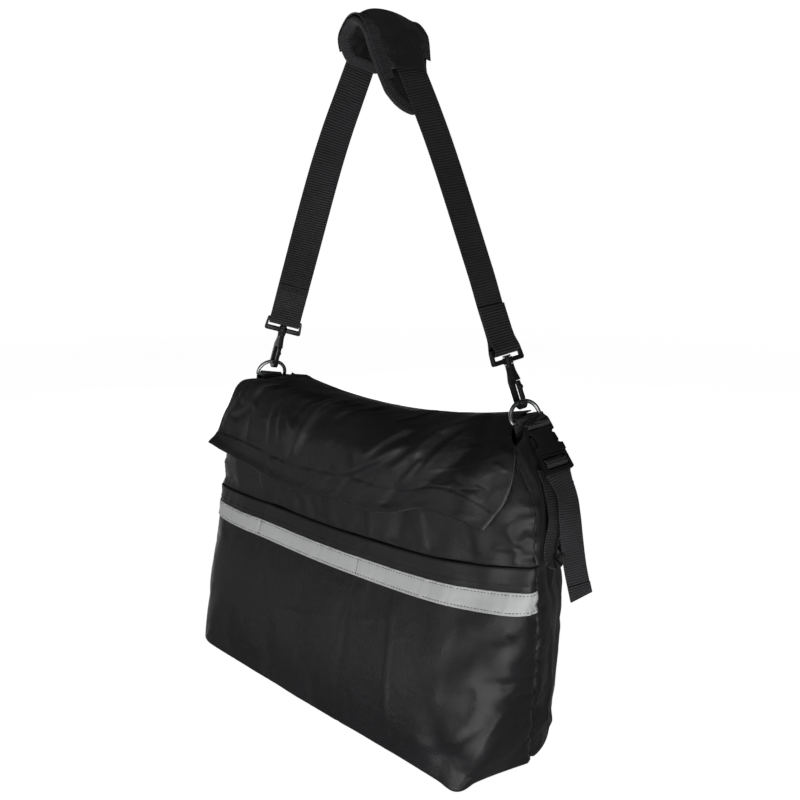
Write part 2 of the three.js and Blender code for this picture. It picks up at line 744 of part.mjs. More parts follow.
function shoulderStrap() {
  const [leftEnd, rightEnd] = SIDES.map(({ side, loopTurn }) => endFrame(side, loopTurn, loopOrigin(side)));
  const endPoints = (frame) => {
    frame.updateMatrix();
    const place = ([through, along]) => vec(0, through, UPPER_BAR + along).applyMatrix4(frame.matrix);
    return SEWN_ROUTE.map(place);
  };
  const endAcross = (frame) => vec(1, 0, 0).applyQuaternion(frame.quaternion);
  const reach = STRAP_HALF - SEWN_BACK - BRANCH_STEP;
  const middle = strapStations([
    ...steps(-reach, PAD_START, BRANCH_STEP).slice(0, -1),
    ...steps(PAD_START, PAD_END, PAD_STEP),
    ...steps(PAD_END, reach, BRANCH_STEP).slice(1),
  ]);
  const left = endPoints(leftEnd);
  const right = endPoints(rightEnd).reverse();
  const route = [...left, ...middle.map((station) => station.point), ...right];
  const acrossAt = (k) => {
    if (k < left.length) return endAcross(leftEnd);
    if (k >= left.length + middle.length) return endAcross(rightEnd);
    return middle[k - left.length].across;
  };
  const section = webSection(STRAP_WIDTH, WEBBING);
  return sweep('shoulder_strap', stationsAlong(route, acrossAt), () => section, BLACK_WEB);
}

// Half width of the pad, rounded at its ends
function padHalf(s) {
  const end = Math.min(s - PAD_START, PAD_END - s);
  const short = Math.max(1 - end / PAD_ROUND, 0);
  return PAD_WIDTH / 2 * Math.sqrt(1 - PAD_POINT * short * short);
}

function shoulderPad() {
  const places = steps(PAD_START, PAD_END, PAD_STEP);
  const top = -WEBBING / 2 - PAD_CLEAR;
  const sectionAt = (k) => {
    const half = padHalf(places[k]);
    return [
      [-half, top - PAD_BEVEL],
      [-half + PAD_BEVEL, top],
      [half - PAD_BEVEL, top],
      [half, top - PAD_BEVEL],
      [half - PAD_UNDERCUT, top - PAD_THICK],
      [-half + PAD_UNDERCUT, top - PAD_THICK],
    ];
  };
  return sweep('shoulder_pad', strapStations(places), sectionAt, BLACK_CLOTH);
}

// Cover of the pad, arched loosely over the strap
function padSleeve() {
  const places = steps(SLEEVE_START, SLEEVE_END, PAD_STEP);
  const halves = places.map((s) => padHalf(s) - SLEEVE_BORDER);
  const stations = strapStations(places);
  const low = -WEBBING / 2 - PAD_CLEAR + CLEAR;
  const rise = WEBBING / 2 + PAD_CLEAR + SLEEVE_LOOSE - low;
  const shares = [-1, -0.85, -0.5, 0, 0.5, 0.85, 1];
  const skin = (lift) => stations.map((station, k) => shares.map((share) => station.point.clone()
    .addScaledVector(station.across, halves[k] * share)
    .addScaledVector(station.out, lift + low + rise * (1 - share * share) ** SLEEVE_ROUND))).reverse();
  return slab('pad_sleeve', skin(SLEEVE_THICK), skin(0), BLACK_CLOTH);
}

// D-ring: a straight bar and a round bow above it
function dRing(name) {
  const half = RING_INSIDE / 2 + RING_WIRE;
  const bow = Array.from({ length: 13 }, (unused, k) => {
    const angle = Math.PI * k / 12;
    return vec(half * Math.cos(angle), 0, RING_TOP * Math.sin(angle) ** RING_SQUARE);
  });
  const bar = [-0.6, 0, 0.6].map((share) => vec(half * share, 0, 0));
  const route = [...bow, ...bar];
  const count = route.length;
  const stations = route.map((point, k) => {
    const tangent = route[(k + 1) % count].clone().sub(route[(k + count - 1) % count]).normalize();
    return { point, across: vec(0, 1, 0), out: tangent.cross(vec(0, 1, 0)) };
  });
  const round = Array.from({ length: 6 }, (unused, k) => {
    const angle = -Math.PI * k / 3;
    return [RING_WIRE * Math.cos(angle), RING_WIRE * Math.sin(angle)];
  });
  return sweep(name, stations, () => round, GREY_STEEL, true);
}

// Swivel loop: a slotted frame that the strap is sewn round, with a boss that carries the hook's stem
function swivelLoop(name) {
  const half = LOOP_OUTER / 2;
  const topHalf = half - LOOP_TAPER;
  const low = -LOOP_BAR / 2;
  const outline = new THREE.Shape();
  outline.moveTo(-half + LOOP_CORNER, low);
  outline.lineTo(half - LOOP_CORNER, low);
  outline.quadraticCurveTo(half, low, half, low + LOOP_CORNER);
  outline.lineTo(topHalf, LOOP_HEIGHT - LOOP_CORNER);
  outline.quadraticCurveTo(topHalf, LOOP_HEIGHT, topHalf - LOOP_CORNER, LOOP_HEIGHT);
  outline.lineTo(-topHalf + LOOP_CORNER, LOOP_HEIGHT);
  outline.quadraticCurveTo(-topHalf, LOOP_HEIGHT, -topHalf, LOOP_HEIGHT - LOOP_CORNER);
  outline.lineTo(-half, low + LOOP_CORNER);
  outline.quadraticCurveTo(-half, low, -half + LOOP_CORNER, low);
  const body = solid(plate(outline, 2 * UPPER_BAR_RADIUS, 3).rotateX(Math.PI / 2));
  const slotLow = LOOP_BAR / 2;
  const slotHigh = UPPER_BAR - UPPER_BAR_RADIUS;
  const slot = block(LOOP_OUTER - 2 * LOOP_SIDE, THROUGH, slotHigh - slotLow, 0, 0, (slotLow + slotHigh) / 2);
  const boss = pin(BOSS_RADIUS, BOSS_LOW, BOSS_HIGH);
  const bore = pin(STEM_RADIUS + CLEAR, 2 * BOSS_LOW, 2 * BOSS_HIGH);
  return meshOf(name, body.subtract(slot).add(boss).subtract(bore), BLACK_PLASTIC);
}

// Hook in the plane (through, along): shank, spine, round foot and tip, with the gate's gap between
function hookBody(name) {
  const outline = new THREE.Shape();
  outline.moveTo(SHANK_TOP_HALF, SHANK_TOP);
  outline.lineTo(SHANK_WAIST_HALF, SHANK_WAIST);
  outline.lineTo(HOOK_HALF, SHOULDER);
  outline.lineTo(HOOK_HALF, HOOK_LOW);
  outline.absarc(0, HOOK_LOW, HOOK_HALF, 0, -Math.PI, true);
  outline.lineTo(-HOOK_HALF, EYE_LOW);
  outline.lineTo(-EYE_HALF - CLEAR, EYE_LOW);
  outline.absarc(0, EYE_LOW, EYE_HALF, Math.PI, 2 * Math.PI, false);
  outline.lineTo(EYE_HALF, EYE_TOP);
  outline.lineTo(0, SHOULDER);
  outline.lineTo(-HOOK_HALF, SHOULDER);
  outline.lineTo(-SHANK_WAIST_HALF, SHANK_WAIST);
  outline.lineTo(-SHANK_TOP_HALF, SHANK_TOP);
  const body = solid(plate(outline, HOOK_THICK, 8).rotateX(Math.PI / 2).rotateZ(Math.PI / 2));
  const stem = pin(STEM_RADIUS, COLLAR_LOW, STEM_HEAD_TOP);
  const head = pin(STEM_HEAD_RADIUS, BOSS_HIGH + CLEAR, STEM_HEAD_TOP);
  const collar = pin(COLLAR_RADIUS, COLLAR_LOW, BOSS_LOW - CLEAR);
  return meshOf(name, body.add(stem).add(head).add(collar), BLACK_PLASTIC);
}

// Gate lever: closes the hook's gap, round about its hinge, with a thumb nub outside
function gateLever(name) {
  const tip = EYE_LOW + CLEAR - GATE_HINGE.along;
  const outline = new THREE.Shape();
  outline.absarc(0, 0, GATE_HALF, 0, Math.PI, false);
  outline.lineTo(-GATE_HALF, NUB_TOP);
  outline.lineTo(-GATE_HALF - NUB_OUT, NUB_TOP - NUB_SLOPE);
  outline.lineTo(-GATE_HALF - NUB_OUT, NUB_LOW + NUB_SLOPE);
  outline.lineTo(-GATE_HALF, NUB_LOW);
  outline.lineTo(-GATE_HALF, tip);
  outline.lineTo(GATE_HALF, tip);
  return named(name, plate(outline, GATE_THICK).rotateX(Math.PI / 2).rotateZ(Math.PI / 2), BLACK_PLASTIC);
}

// Socket of the side-release buckle: x across, y out of the bag, z up, its mouth at z = 0
function buckleSocket(name) {
  const outline = new THREE.Shape();
  outline.moveTo(-SOCKET_HALF, 0);
  outline.lineTo(SOCKET_HALF, 0);
  outline.lineTo(SOCKET_HALF, NOTCH_LOW);
  outline.quadraticCurveTo(NOTCH_HALF, NOTCH_LOW, NOTCH_HALF, NOTCH_MIDDLE);
  outline.quadraticCurveTo(NOTCH_HALF, NOTCH_HIGH, SOCKET_TOP_HALF, NOTCH_HIGH);
  outline.lineTo(SOCKET_TOP_HALF, SOCKET_LENGTH);
  outline.lineTo(-SOCKET_TOP_HALF, SOCKET_LENGTH);
  outline.lineTo(-SOCKET_TOP_HALF, NOTCH_HIGH);
  outline.quadraticCurveTo(-NOTCH_HALF, NOTCH_HIGH, -NOTCH_HALF, NOTCH_MIDDLE);
  outline.quadraticCurveTo(-NOTCH_HALF, NOTCH_LOW, -SOCKET_HALF, NOTCH_LOW);
  const body = solid(plate(outline, SOCKET_THICK, 4).rotateX(Math.PI / 2));
  const hollow = block(HOLLOW_WIDTH, HOLLOW_THICK, 2 * HOLLOW_DEPTH);
  const notchHeight = NOTCH_HIGH - NOTCH_LOW;
  const windows = block(3 * SOCKET_HALF, HOLLOW_THICK, notchHeight, 0, 0, NOTCH_LOW + notchHeight / 2);
  const slot = block(TAB_WIDTH + 2 * CLEAR, THROUGH, TAB_SLOT, 0, 0, SOCKET_LENGTH - TAB_SLOT_DROP);
  return meshOf(name, body.subtract(hollow).subtract(windows).subtract(slot), BLACK_PLASTIC);
}

// Prong piece: two slots with a thin bar between them, two release arms and a guide
function buckleProng(name) {
  const frame = block(PRONG_WIDTH, PRONG_THICK, PRONG_LENGTH - CLEAR, 0, 0, -(PRONG_LENGTH + CLEAR) / 2);
  const upperSlot = block(PRONG_SLOT_WIDTH, THROUGH, PRONG_SLOT, 0, 0, UPPER_SLOT);
  const lowerSlot = block(PRONG_SLOT_WIDTH, THROUGH, PRONG_SLOT, 0, 0, LOWER_SLOT);
  const between = (UPPER_SLOT + LOWER_SLOT) / 2;
  const recess = (side) => block(PRONG_SLOT_WIDTH, PRONG_THICK, PRONG_LENGTH / 3, 0,
    side * (PRONG_THICK + THIN_BAR) / 2, between);
  const arm = new THREE.Shape(ARM_OUTLINE.map(({ out, up }) => new THREE.Vector2(out, up)));
  const right = solid(plate(arm, ARM_THICK).rotateX(Math.PI / 2));
  const left = right.mirror([1, 0, 0]);
  const guide = block(GUIDE_WIDTH, ARM_THICK, GUIDE_TOP + 1, 0, 0, (GUIDE_TOP - 1) / 2);
  const body = frame.subtract(upperSlot).subtract(lowerSlot).subtract(recess(1)).subtract(recess(-1));
  return meshOf(name, body.add(right).add(left).add(guide), BLACK_PLASTIC);
}

// Frame of the buckle on the slanting upper part of a side wall
function buckleFrame({ side, buckleTurn, buckleTip, mouth }) {
  const up = vec(-side * Math.sin(BUCKLE_LEAN), buckleTip, Math.cos(BUCKLE_LEAN)).normalize();
  const across = flatAcross(buckleTurn).multiplyScalar(side);
  across.addScaledVector(up, -across.dot(up)).normalize();
  const frame = new THREE.Group();
  frame.matrix.makeBasis(across, up.clone().cross(across), up).setPosition(side * mouth.x, mouth.y, mouth.z);
  frame.matrix.decompose(frame.position, frame.quaternion, frame.scale);
  return frame;
}

// Places given by their distance out of the bag and up, in a buckle's frame
function buckleRoute(frame, places) {
  frame.updateMatrix();
  return places.map(({ out, up }) => vec(0, -out, up).applyMatrix4(frame.matrix));
}

// Tab: from inside the bag up over the ring's bar and down to the buckle's slot, round its end bar
function ringTab(end) {
  const { name, side } = end;
  const wrap = RING_WIRE + 2 * CLEAR + WEBBING / 2;
  const ring = endFrame(side, RING_TURN, ringOrigin(side));
  ring.updateMatrix();
  const inward = Math.sign(vec(0, 1, 0).applyQuaternion(ring.quaternion).x * -side);
  const overBar = [180, 135, 90, 45, 0].map((degrees) => {
    const angle = THREE.MathUtils.degToRad(degrees);
    return { through: -wrap * Math.cos(angle), up: wrap * Math.sin(angle) };
  });
  const fromRing = [...TAB_TUCK, ...overBar].map(({ through, up }) => vec(0, inward * through, up)
    .applyMatrix4(ring.matrix));
  const buckle = buckleFrame(end);
  const toBuckle = buckleRoute(buckle, TAB_TURN.map(({ out, down }) => ({ out, up: SOCKET_LENGTH - down })));
  const ringAcross = vec(1, 0, 0).applyQuaternion(ring.quaternion);
  const buckleAcross = vec(1, 0, 0).applyQuaternion(buckle.quaternion);
  buckleAcross.multiplyScalar(Math.sign(buckleAcross.dot(ringAcross)));
  const acrossAt = (k) => (k < fromRing.length ? ringAcross : buckleAcross);
  const stations = stationsAlong([...fromRing, ...toBuckle], acrossAt)
    .map((station, k) => ({ ...station, across: acrossAt(k) }));
  const section = webSection(TAB_WIDTH, WEBBING);
  return sweep(`${name}_ring_tab`, stations, () => section, BLACK_WEB);
}

// Side wall's x at a depth and a height
function wallX(y, z) {
  const row = sample(LEVELS, 'z', z);
  return sidePlan(row, 1, (y - row.side_y) / (row.back_y - row.side_y))[0];
}

function buckleStrap(end) {
  const { name, side } = end;
  const frame = buckleFrame(end);
  const threaded = buckleRoute(frame, THREADED_ROUTE);
  const spots = (route) => route.map(({ out, back, z }) => {
    const y = end.mouth.y + back;
    return vec(side * (wallX(y, z) + out), y, z);
  });
  const turns = (route) => route.map(({ turn }) => {
    const angle = THREE.MathUtils.degToRad(turn);
    return vec(side * Math.cos(angle), Math.sin(angle), 0);
  });
  const buckleAcross = vec(1, 0, 0).applyQuaternion(frame.quaternion).multiplyScalar(side);
  const route = [...spots(SLACK_ROUTE), ...threaded, ...spots(TAIL_ROUTE)];
  const across = [...turns(SLACK_ROUTE), ...threaded.map(() => buckleAcross), ...turns(TAIL_ROUTE)];
  const section = webSection(BUCKLE_WEB, WEBBING);
  return sweep(`${name}_buckle_strap`, stationsAlong(route, (k) => across[k]), () => section, BLACK_WEB);
}

// Assembly
const bag = new THREE.Group();
bag.add(
  wall('front_panel', 0, RIGHT_SEAM),
  wall('right_gusset', RIGHT_SEAM, RIGHT_BACK),
  wall('back_panel', RIGHT_BACK, LEFT_BACK),
  wall('left_gusset', LEFT_BACK, LEFT_SEAM),
  bottomPanel(),
  frontPocket(),
  reflectiveTape(),
  flap(),
  shoulderStrap(),
  shoulderPad(),
  padSleeve(),
);

for (const end of SIDES) {
  const { name, side, loopTurn } = end;
  const loop = endFrame(side, loopTurn, loopOrigin(side));
  loop.add(swivelLoop(`${name}_swivel_loop`));
  const hook = endFrame(side, RING_TURN, loopOrigin(side));
  const gate = gateLever(`${name}_gate`);
  gate.position.set(0, GATE_HINGE.through, GATE_HINGE.along);
  hook.add(hookBody(`${name}_hook`), gate);
  const ring = endFrame(side, RING_TURN, ringOrigin(side));
  ring.add(dRing(`${name}_d_ring`));
  const buckle = buckleFrame(end);
  buckle.add(buckleSocket(`${name}_buckle_socket`), buckleProng(`${name}_buckle_prong`));
  bag.add(loop, hook, ring, buckle);
  bag.add(ringTab(end), buckleStrap(end));
}

bag.position.z = -HANG_HEIGHT;
const part = new THREE.Group();
part.add(bag);
part.updateMatrixWorld(true);

export default part;
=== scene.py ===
"""Looks of the wheelchair back bag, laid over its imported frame."""
import math
from types import SimpleNamespace

import bmesh
import bpy
import numpy as np
from bpy.props import FloatProperty, FloatVectorProperty, PointerProperty
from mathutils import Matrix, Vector


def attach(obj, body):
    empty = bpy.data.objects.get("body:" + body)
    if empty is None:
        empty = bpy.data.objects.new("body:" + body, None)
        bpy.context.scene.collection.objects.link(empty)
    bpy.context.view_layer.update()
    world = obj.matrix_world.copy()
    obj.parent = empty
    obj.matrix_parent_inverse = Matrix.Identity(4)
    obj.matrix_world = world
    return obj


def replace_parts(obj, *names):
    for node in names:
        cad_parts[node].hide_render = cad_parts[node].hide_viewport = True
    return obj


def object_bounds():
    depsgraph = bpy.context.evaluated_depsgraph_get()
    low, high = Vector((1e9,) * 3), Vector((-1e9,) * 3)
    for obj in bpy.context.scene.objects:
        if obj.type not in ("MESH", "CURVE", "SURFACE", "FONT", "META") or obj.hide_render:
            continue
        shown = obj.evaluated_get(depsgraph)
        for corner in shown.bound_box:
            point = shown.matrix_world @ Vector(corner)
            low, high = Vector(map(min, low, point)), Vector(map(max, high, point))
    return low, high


bl_info = {
    "name": "Wheelchair back bag",
    "version": (1, 0, 0),
    "blender": (4, 5, 0),
    "location": "View3D > Sidebar > Back bag",
    "description": "Makes the cloth, webbing, pad and hardware of a wheelchair back bag over its frame",
    "category": "Object",
}

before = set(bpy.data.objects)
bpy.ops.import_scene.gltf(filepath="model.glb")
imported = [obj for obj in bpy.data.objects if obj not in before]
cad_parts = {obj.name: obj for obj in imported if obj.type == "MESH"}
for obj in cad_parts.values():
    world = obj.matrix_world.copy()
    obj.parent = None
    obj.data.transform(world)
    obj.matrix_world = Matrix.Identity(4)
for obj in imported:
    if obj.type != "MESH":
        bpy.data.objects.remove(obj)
CAD_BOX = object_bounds()

# Sizes shared with the part's source, in millimetres, z = 0 at the floor of the bag
MM = 0.001
CLOTH, CLEAR = 1.5, 0.4
FRONT_TOP, BACK_TOP, HEM_TOP, HEM_HEIGHT = 310.0, 341.0, 215.0, 18.0
FLAP_SEAT = 1.0
TAPE_TOP, TAPE_WIDTH, TAPE_THICK = 193.0, 20.0, 0.8
FLOOR_SAG, FLOOR_THICK, FLOOR_GAP = 4.0, 2.0, 0.6
ROLL = 0.12
FRONT_BULGE, SIDE_BULGE, BACK_BULGE = 8.0, 7.0, 4.0
FLAT_SHARE, CORNER_SHARE, CORNER_FRONT, CORNER_SIDE = 0.55, 0.85, 0.3, 0.55
WAVE_START = 0.6

LEVEL_COLUMNS = "z shift front_x front_y side_x side_y back_x back_y round".split()
LEVELS = np.array([
    [0, -13, 194, -119, 232, -25, 218, 50, 0.35],
    [57, -4, 205, -112, 229, -38, 209, 60, 0.6],
    [127, 1, 216, -90, 229, -46, 205, 65, 0.9],
    [215, 0, 218, -58, 228, -50, 204, 62, 1],
    [271, 0, 210, -52, 222, -45, 218, 57, 1],
    [290, 0, 197, -47, 211, -39, 215, 54, 1],
    [310, 0, 184, -42, 196, -33, 206, 52, 1],
    [347, 0, 165, -28, 180, -20, 187, 42, 1],
], float)

# Drop of the pocket's mouth below its two ends, by the place across the front
MOUTH_SAG = np.array([
    [-1, 0], [-0.6, 5.5], [-0.43, 6.5], [-0.15, 10.5], [0.1, 12],
    [0.35, 12.5], [0.53, 10], [0.66, 5], [0.8, 1.5], [1, 0],
], float)

# Flap from the back seam to its front edge: v, left end x y z, right end x y z, dip, crown
FLAP_ROWS = np.array([
    [0, -165, 49, 350, 166, 49, 350, 20, 0],
    [0.14, -166, 22, 355, 166, 22, 349, 15, 0],
    [0.28, -170, -12, 355, 173, -12, 339, 9, 0],
    [0.42, -207, -28, 350, 188, -31, 328, 4, 6],
    [0.62, -220, -44, 316, 197, -51, 309, 0, 13],
    [0.82, -226, -54, 291, 193, -61, 281, 0, 12],
    [1, -234, -64, 272, 174, -68, 249, 0, 8],
], float)
# Drop of the flap's front edge, by the share of its breadth
FLAP_EDGE = np.array([[0, 0], [0.2, 12], [0.35, 20], [0.55, 16], [0.71, 12], [0.83, -6], [1, 0]], float)

# Strap, pad and hardware
STRAP_WIDTH, WEBBING = 38.0, 1.6
ARCH_RADIUS, ARCH_VIRTUAL_TOP = 36.0, 826.0
LOOP_X, LOOP_Z, LEFT_LOOP_LIFT = 161.0, 413.0, 5.0
LEFT_TURN, TOP_TURN, RIGHT_TURN, RING_TURN = (math.radians(a) for a in (40, 71, 73, 60))
ARCH_TWIST, TWIST_REACH = math.radians(-26), 95.0
PAD_STEP, PAD_START, PAD_END = 8.0, -64.0, 120.0
PAD_WIDTH, PAD_THICK, PAD_CLEAR, PAD_ROUND, PAD_POINT = 80.0, 8.0, 0.9, 34.0, 0.8
SLEEVE_START, SLEEVE_END, SLEEVE_THICK = -48.0, 80.0, 2.0
SLEEVE_LOOSE, SLEEVE_ROUND, PAD_PINCH = 3.5, 0.6, 0.46
SLEEVE_EDGE, SLEEVE_TILT, SLEEVE_HEM, BINDING_WIDTH = 11.5, 4.5, 8.0, 12.0
SEWN_BACK, UPPER_BAR, UPPER_BAR_RADIUS = 48.0, 12.0, 2.5
RING_DROP, RING_WIRE, RING_INSIDE, RING_TOP, RING_SQUARE = 65.0, 2.25, 32.0, 19.7, 0.8
BUCKLE_LEAN = math.radians(41.6)
SOCKET_LENGTH = 36.0
TAB_WIDTH, TAB_FACE, TAB_SLOT_DROP = 27.5, 6.5, 5.0
BUCKLE_WEB = 25.0
# A tab's way up from the bag to the ring's bar: inward and up in the ring's frame
TAB_TUCK = [(13, -30), (7, -13)]
# Its turn round the bar of the buckle's socket: out and down from the socket's top
TAB_TURN = [
    (TAB_FACE, -0.5), (TAB_FACE, 2.6), (TAB_FACE - 1.3, 4.6), (0, TAB_SLOT_DROP),
    (1.3 - TAB_FACE, 4.6), (-TAB_FACE, 2.6), (-TAB_FACE, -0.5),
]
# Slack loop of the buckle webbing: out from the wall, back from the mouth, height, turn in degrees
SLACK_ROUTE = [
    (3.4, -2, 304, 84), (3.6, -7, 290, 84), (3.8, -14, 262, 85), (3, -21, 238, 87), (3, -23, 226, 88),
    (5.5, -22, 218, 88), (9, -16, 217, 87), (10.5, -5, 224, 86), (12, 7, 238, 84), (10, 12, 256, 82),
    (9, 9, 276, 80),
]
# Its way through the buckle: out and up in the buckle's frame
THREADED_ROUTE = [
    (-8, -16), (-6, -7), (0, -5.6), (3.4, -7.2), (3.7, -10),
    (3.2, -12.6), (0, -14.2), (-4, -16), (-4.6, -22),
]
# Its free tail, in the columns of the slack loop
TAIL_SLANT, TAIL_FOLD = -0.2, 14.0
TAIL_ROUTE = [
    (16, -4, 282, 62), (17, -8, 262, 52), (21.5, -9, 236, 47), (27, -9, 208, 46), (34, -9, 178, 46),
]
ENDS = [
    SimpleNamespace(name="left", side=-1, loop_turn=LEFT_TURN, buckle_turn=math.radians(85),
                    buckle_tip=0.0, mouth=(218, 6, 323)),
    SimpleNamespace(name="right", side=1, loop_turn=RIGHT_TURN, buckle_turn=math.radians(51),
                    buckle_tip=0.27, mouth=(217, -6, 322)),
]

LEAN = math.atan2(LOOP_X, ARCH_VIRTUAL_TOP - LOOP_Z)
ARCH_CENTRE = ARCH_VIRTUAL_TOP - ARCH_RADIUS / math.sin(LEAN)
ARCH_HALF = ARCH_RADIUS * (math.pi / 2 - LEAN)
HANG_HEIGHT = ARCH_CENTRE + ARCH_RADIUS - WEBBING / 2 - PAD_CLEAR - PAD_THICK
BRANCH = math.hypot(LOOP_X, ARCH_VIRTUAL_TOP - LOOP_Z) - ARCH_RADIUS / math.tan(LEAN) - UPPER_BAR
STRAP_HALF = ARCH_HALF + BRANCH


# Curves and fields

def smooth(t):
    t = np.clip(t, 0, 1)
    return t * t * (3 - 2 * t)


def curve_through(rows, place):
    """Every column of a table at places between its rows, on a smooth curve through them."""
    place = np.asarray(place, float)
    keys = rows[:, 0]
    last = len(keys) - 1
    i = np.clip(np.searchsorted(keys, place, side="left") - 1, 0, last - 1)
    before, a, b, after = rows[np.maximum(i - 1, 0)], rows[i], rows[i + 1], rows[np.minimum(i + 2, last)]
    span = (b - a)[..., :1]
    t = np.clip((place - keys[i]) / span[..., 0], 0, 1)[..., None]
    leaving = (b - before) / (b - before)[..., :1]
    arriving = (after - a) / (after - a)[..., :1]
    bend = ((t - 2 * t ** 2 + t ** 3) * leaving + (t ** 3 - t ** 2) * arriving) * span
    return np.moveaxis(a + (b - a) * smooth(t) + bend, -1, 0)


def level(z):
    """Columns of the table of levels at a height."""
    return SimpleNamespace(**dict(zip(LEVEL_COLUMNS, curve_through(LEVELS, z))))


def unit(v):
    return v / np.maximum(np.linalg.norm(v, axis=-1, keepdims=True), 1e-9)


def ripple(x, y, seed, scale, modes=28):
    """Smooth random field of about unit size, whose swells are scale apart."""
    rng = np.random.default_rng(seed)
    total = np.zeros(np.broadcast(x, y).shape)
    for _ in range(modes):
        angle, phase = rng.uniform(0, 2 * math.pi, 2)
        wave = 2 * math.pi / (scale * rng.uniform(0.6, 1.7))
        total += np.sin(wave * (np.cos(angle) * x + np.sin(angle) * y) + phase)
    return total / math.sqrt(modes / 2)


CREASE_SHARPNESS = 3.2


def crease(x, y, seed, scale):
    """Random sharp-crested creases between soft swells, from 0 to 1."""
    return np.exp(-np.abs(ripple(x, y, seed, scale)) * CREASE_SHARPNESS)


# How much broader a fold's right side is, going along its path, than its left, and how round its crest is
FOLD_KINDS = {
    "soft": (0.2, 2.0), "pressed": (0.0, 1.0), "steep_right": (-0.5, 1.7), "steep_left": (0.5, 1.7),
}
# How steeply a fold rises from its two ends, and its share of height at the very end
FOLD_RISE, FOLD_END = 4, 0.15


def fold(x, y, path, breadth, kind):
    """Height, up to 1, of a fold along a path of points, fading at its ends."""
    path = np.asarray(path, float)
    skew, power = FOLD_KINDS[kind]
    steps = np.linalg.norm(np.diff(path, axis=0), axis=1)
    reach = steps.sum()
    best = np.full(np.broadcast(x, y).shape, 1e9)
    along, side = np.zeros_like(best), np.zeros_like(best)
    done = 0.0
    for (ax, ay), (bx, by), length in zip(path[:-1], path[1:], steps):
        dx, dy = (bx - ax) / length, (by - ay) / length
        run = np.clip((x - ax) * dx + (y - ay) * dy, 0, length)
        off = np.hypot(x - ax - run * dx, y - ay - run * dy)
        nearer = off < best
        best = np.where(nearer, off, best)
        along = np.where(nearer, (done + run) / reach, along)
        side = np.where(nearer, np.sign((x - ax) * dy - (y - ay) * dx), side)
        done += length
    width = breadth * (1 + skew * side)
    return np.exp(-(best / width) ** power) * smooth(np.minimum(along, 1 - along) * FOLD_RISE + FOLD_END)


def pucker(along, away, seed, pitch, reach):
    """Small gathers square to a seam: high on some places along it, fading away from it."""
    wave = ripple(along, along * 0, seed, pitch, modes=14)
    return wave * np.exp(-np.abs(away) / reach)


def folds_at(x, z, folds):
    """Height of all the folds of a table: path of (across, up) points, height, breadth and kind."""
    return sum(height * fold(x, z, path, breadth, kind) for path, height, breadth, kind in folds)


def ramp(value, start, span):
    """Smooth rise from 0 at a start to 1 a span further on."""
    return smooth((value - start) / span)


def bell(value, breadth):
    """Smooth hump of height 1 about zero."""
    return np.exp(-(value / breadth) ** 2)


# Half the width of the step at a hem
HEM_BLEND = 0.8


def hem_step(inside):
    """Step up onto a folded hem, by the distance inside its edge."""
    return smooth((inside + HEM_BLEND) / (2 * HEM_BLEND))


# Surfaces of the bag, in millimetres

def rolled(x, y, z):
    """Points of the bag, whose floor hangs lower on the right."""
    return np.stack(np.broadcast_arrays(x, y, z - ROLL * x * np.maximum(0, 1 - z / HEM_TOP)), -1)


def front_cloth(s, z):
    """Front of the bag, s from -1 at its left seam to 1 at its right seam."""
    s, z = np.broadcast_arrays(np.asarray(s, float), np.asarray(z, float))
    row, t = level(z), np.abs(s)
    start = row.front_x * (1 - CORNER_FRONT * row.round)

    def bulged(x):
        return row.front_y - FRONT_BULGE * row.round * (1 - (x / row.front_x) ** 2)

    end_x = row.front_x + (row.side_x - row.front_x) * CORNER_SIDE * row.round
    end_y = row.front_y + (row.side_y - row.front_y) * CORNER_SIDE * row.round
    flat = start * t / FLAT_SHARE
    k = np.clip((t - FLAT_SHARE) / (CORNER_SHARE - FLAT_SHARE), 0, 1)
    e = np.clip((t - CORNER_SHARE) / (1 - CORNER_SHARE), 0, 1)
    turn_x = start * (1 - k) ** 2 + row.front_x * 2 * k * (1 - k) + end_x * k * k
    turn_y = bulged(start) * (1 - k) ** 2 + row.front_y * 2 * k * (1 - k) + end_y * k * k
    last_x, last_y = end_x + (row.side_x - end_x) * e, end_y + (row.side_y - end_y) * e
    x = np.where(t <= FLAT_SHARE, flat, np.where(t <= CORNER_SHARE, turn_x, last_x))
    y = np.where(t <= FLAT_SHARE, bulged(flat), np.where(t <= CORNER_SHARE, turn_y, last_y))
    return rolled(np.sign(s) * x + row.shift, y, z)


def sagged(s, z):
    """Height of a level of the front, which sags with the pocket's mouth."""
    share = np.minimum(z / HEM_TOP, (FRONT_TOP - z) / (FRONT_TOP - HEM_TOP))
    return z - curve_through(MOUTH_SAG, s)[1] * share


def side_cloth(side, g, z):
    """Side of the bag, g from 0 at its front seam to 1 at its back seam."""
    row = level(z)
    x = row.side_x + (row.back_x - row.side_x) * g + SIDE_BULGE * 4 * g * (1 - g)
    return rolled(side * x + row.shift, row.side_y + (row.back_y - row.side_y) * g, z)


def back_cloth(b, z):
    row = level(z)
    return rolled(row.back_x * b + row.shift, row.back_y + BACK_BULGE * (1 - b * b), z)


def flap_base(u, v):
    """Flap without folds, u from its left end to its right end and v from the back seam to the front edge."""
    u, v = np.broadcast_arrays(np.asarray(u, float), np.asarray(v, float))
    _, lx, ly, lz, rx, ry, rz, dip, crown = curve_through(FLAP_ROWS, v)
    arch = 4 * u * (1 - u)
    wave = curve_through(FLAP_EDGE, u)[1] * smooth((v - WAVE_START) / (1 - WAVE_START))
    x = lx + (rx - lx) * u
    return np.stack([x, ly + (ry - ly) * u - crown * arch, lz + (rz - lz) * u - dip * arch - wave], -1)


def facing(grid):
    """Unit normals of a grid of points, rows up and columns to the right seen from outside."""
    return unit(np.cross(np.gradient(grid, axis=1), np.gradient(grid, axis=0)))


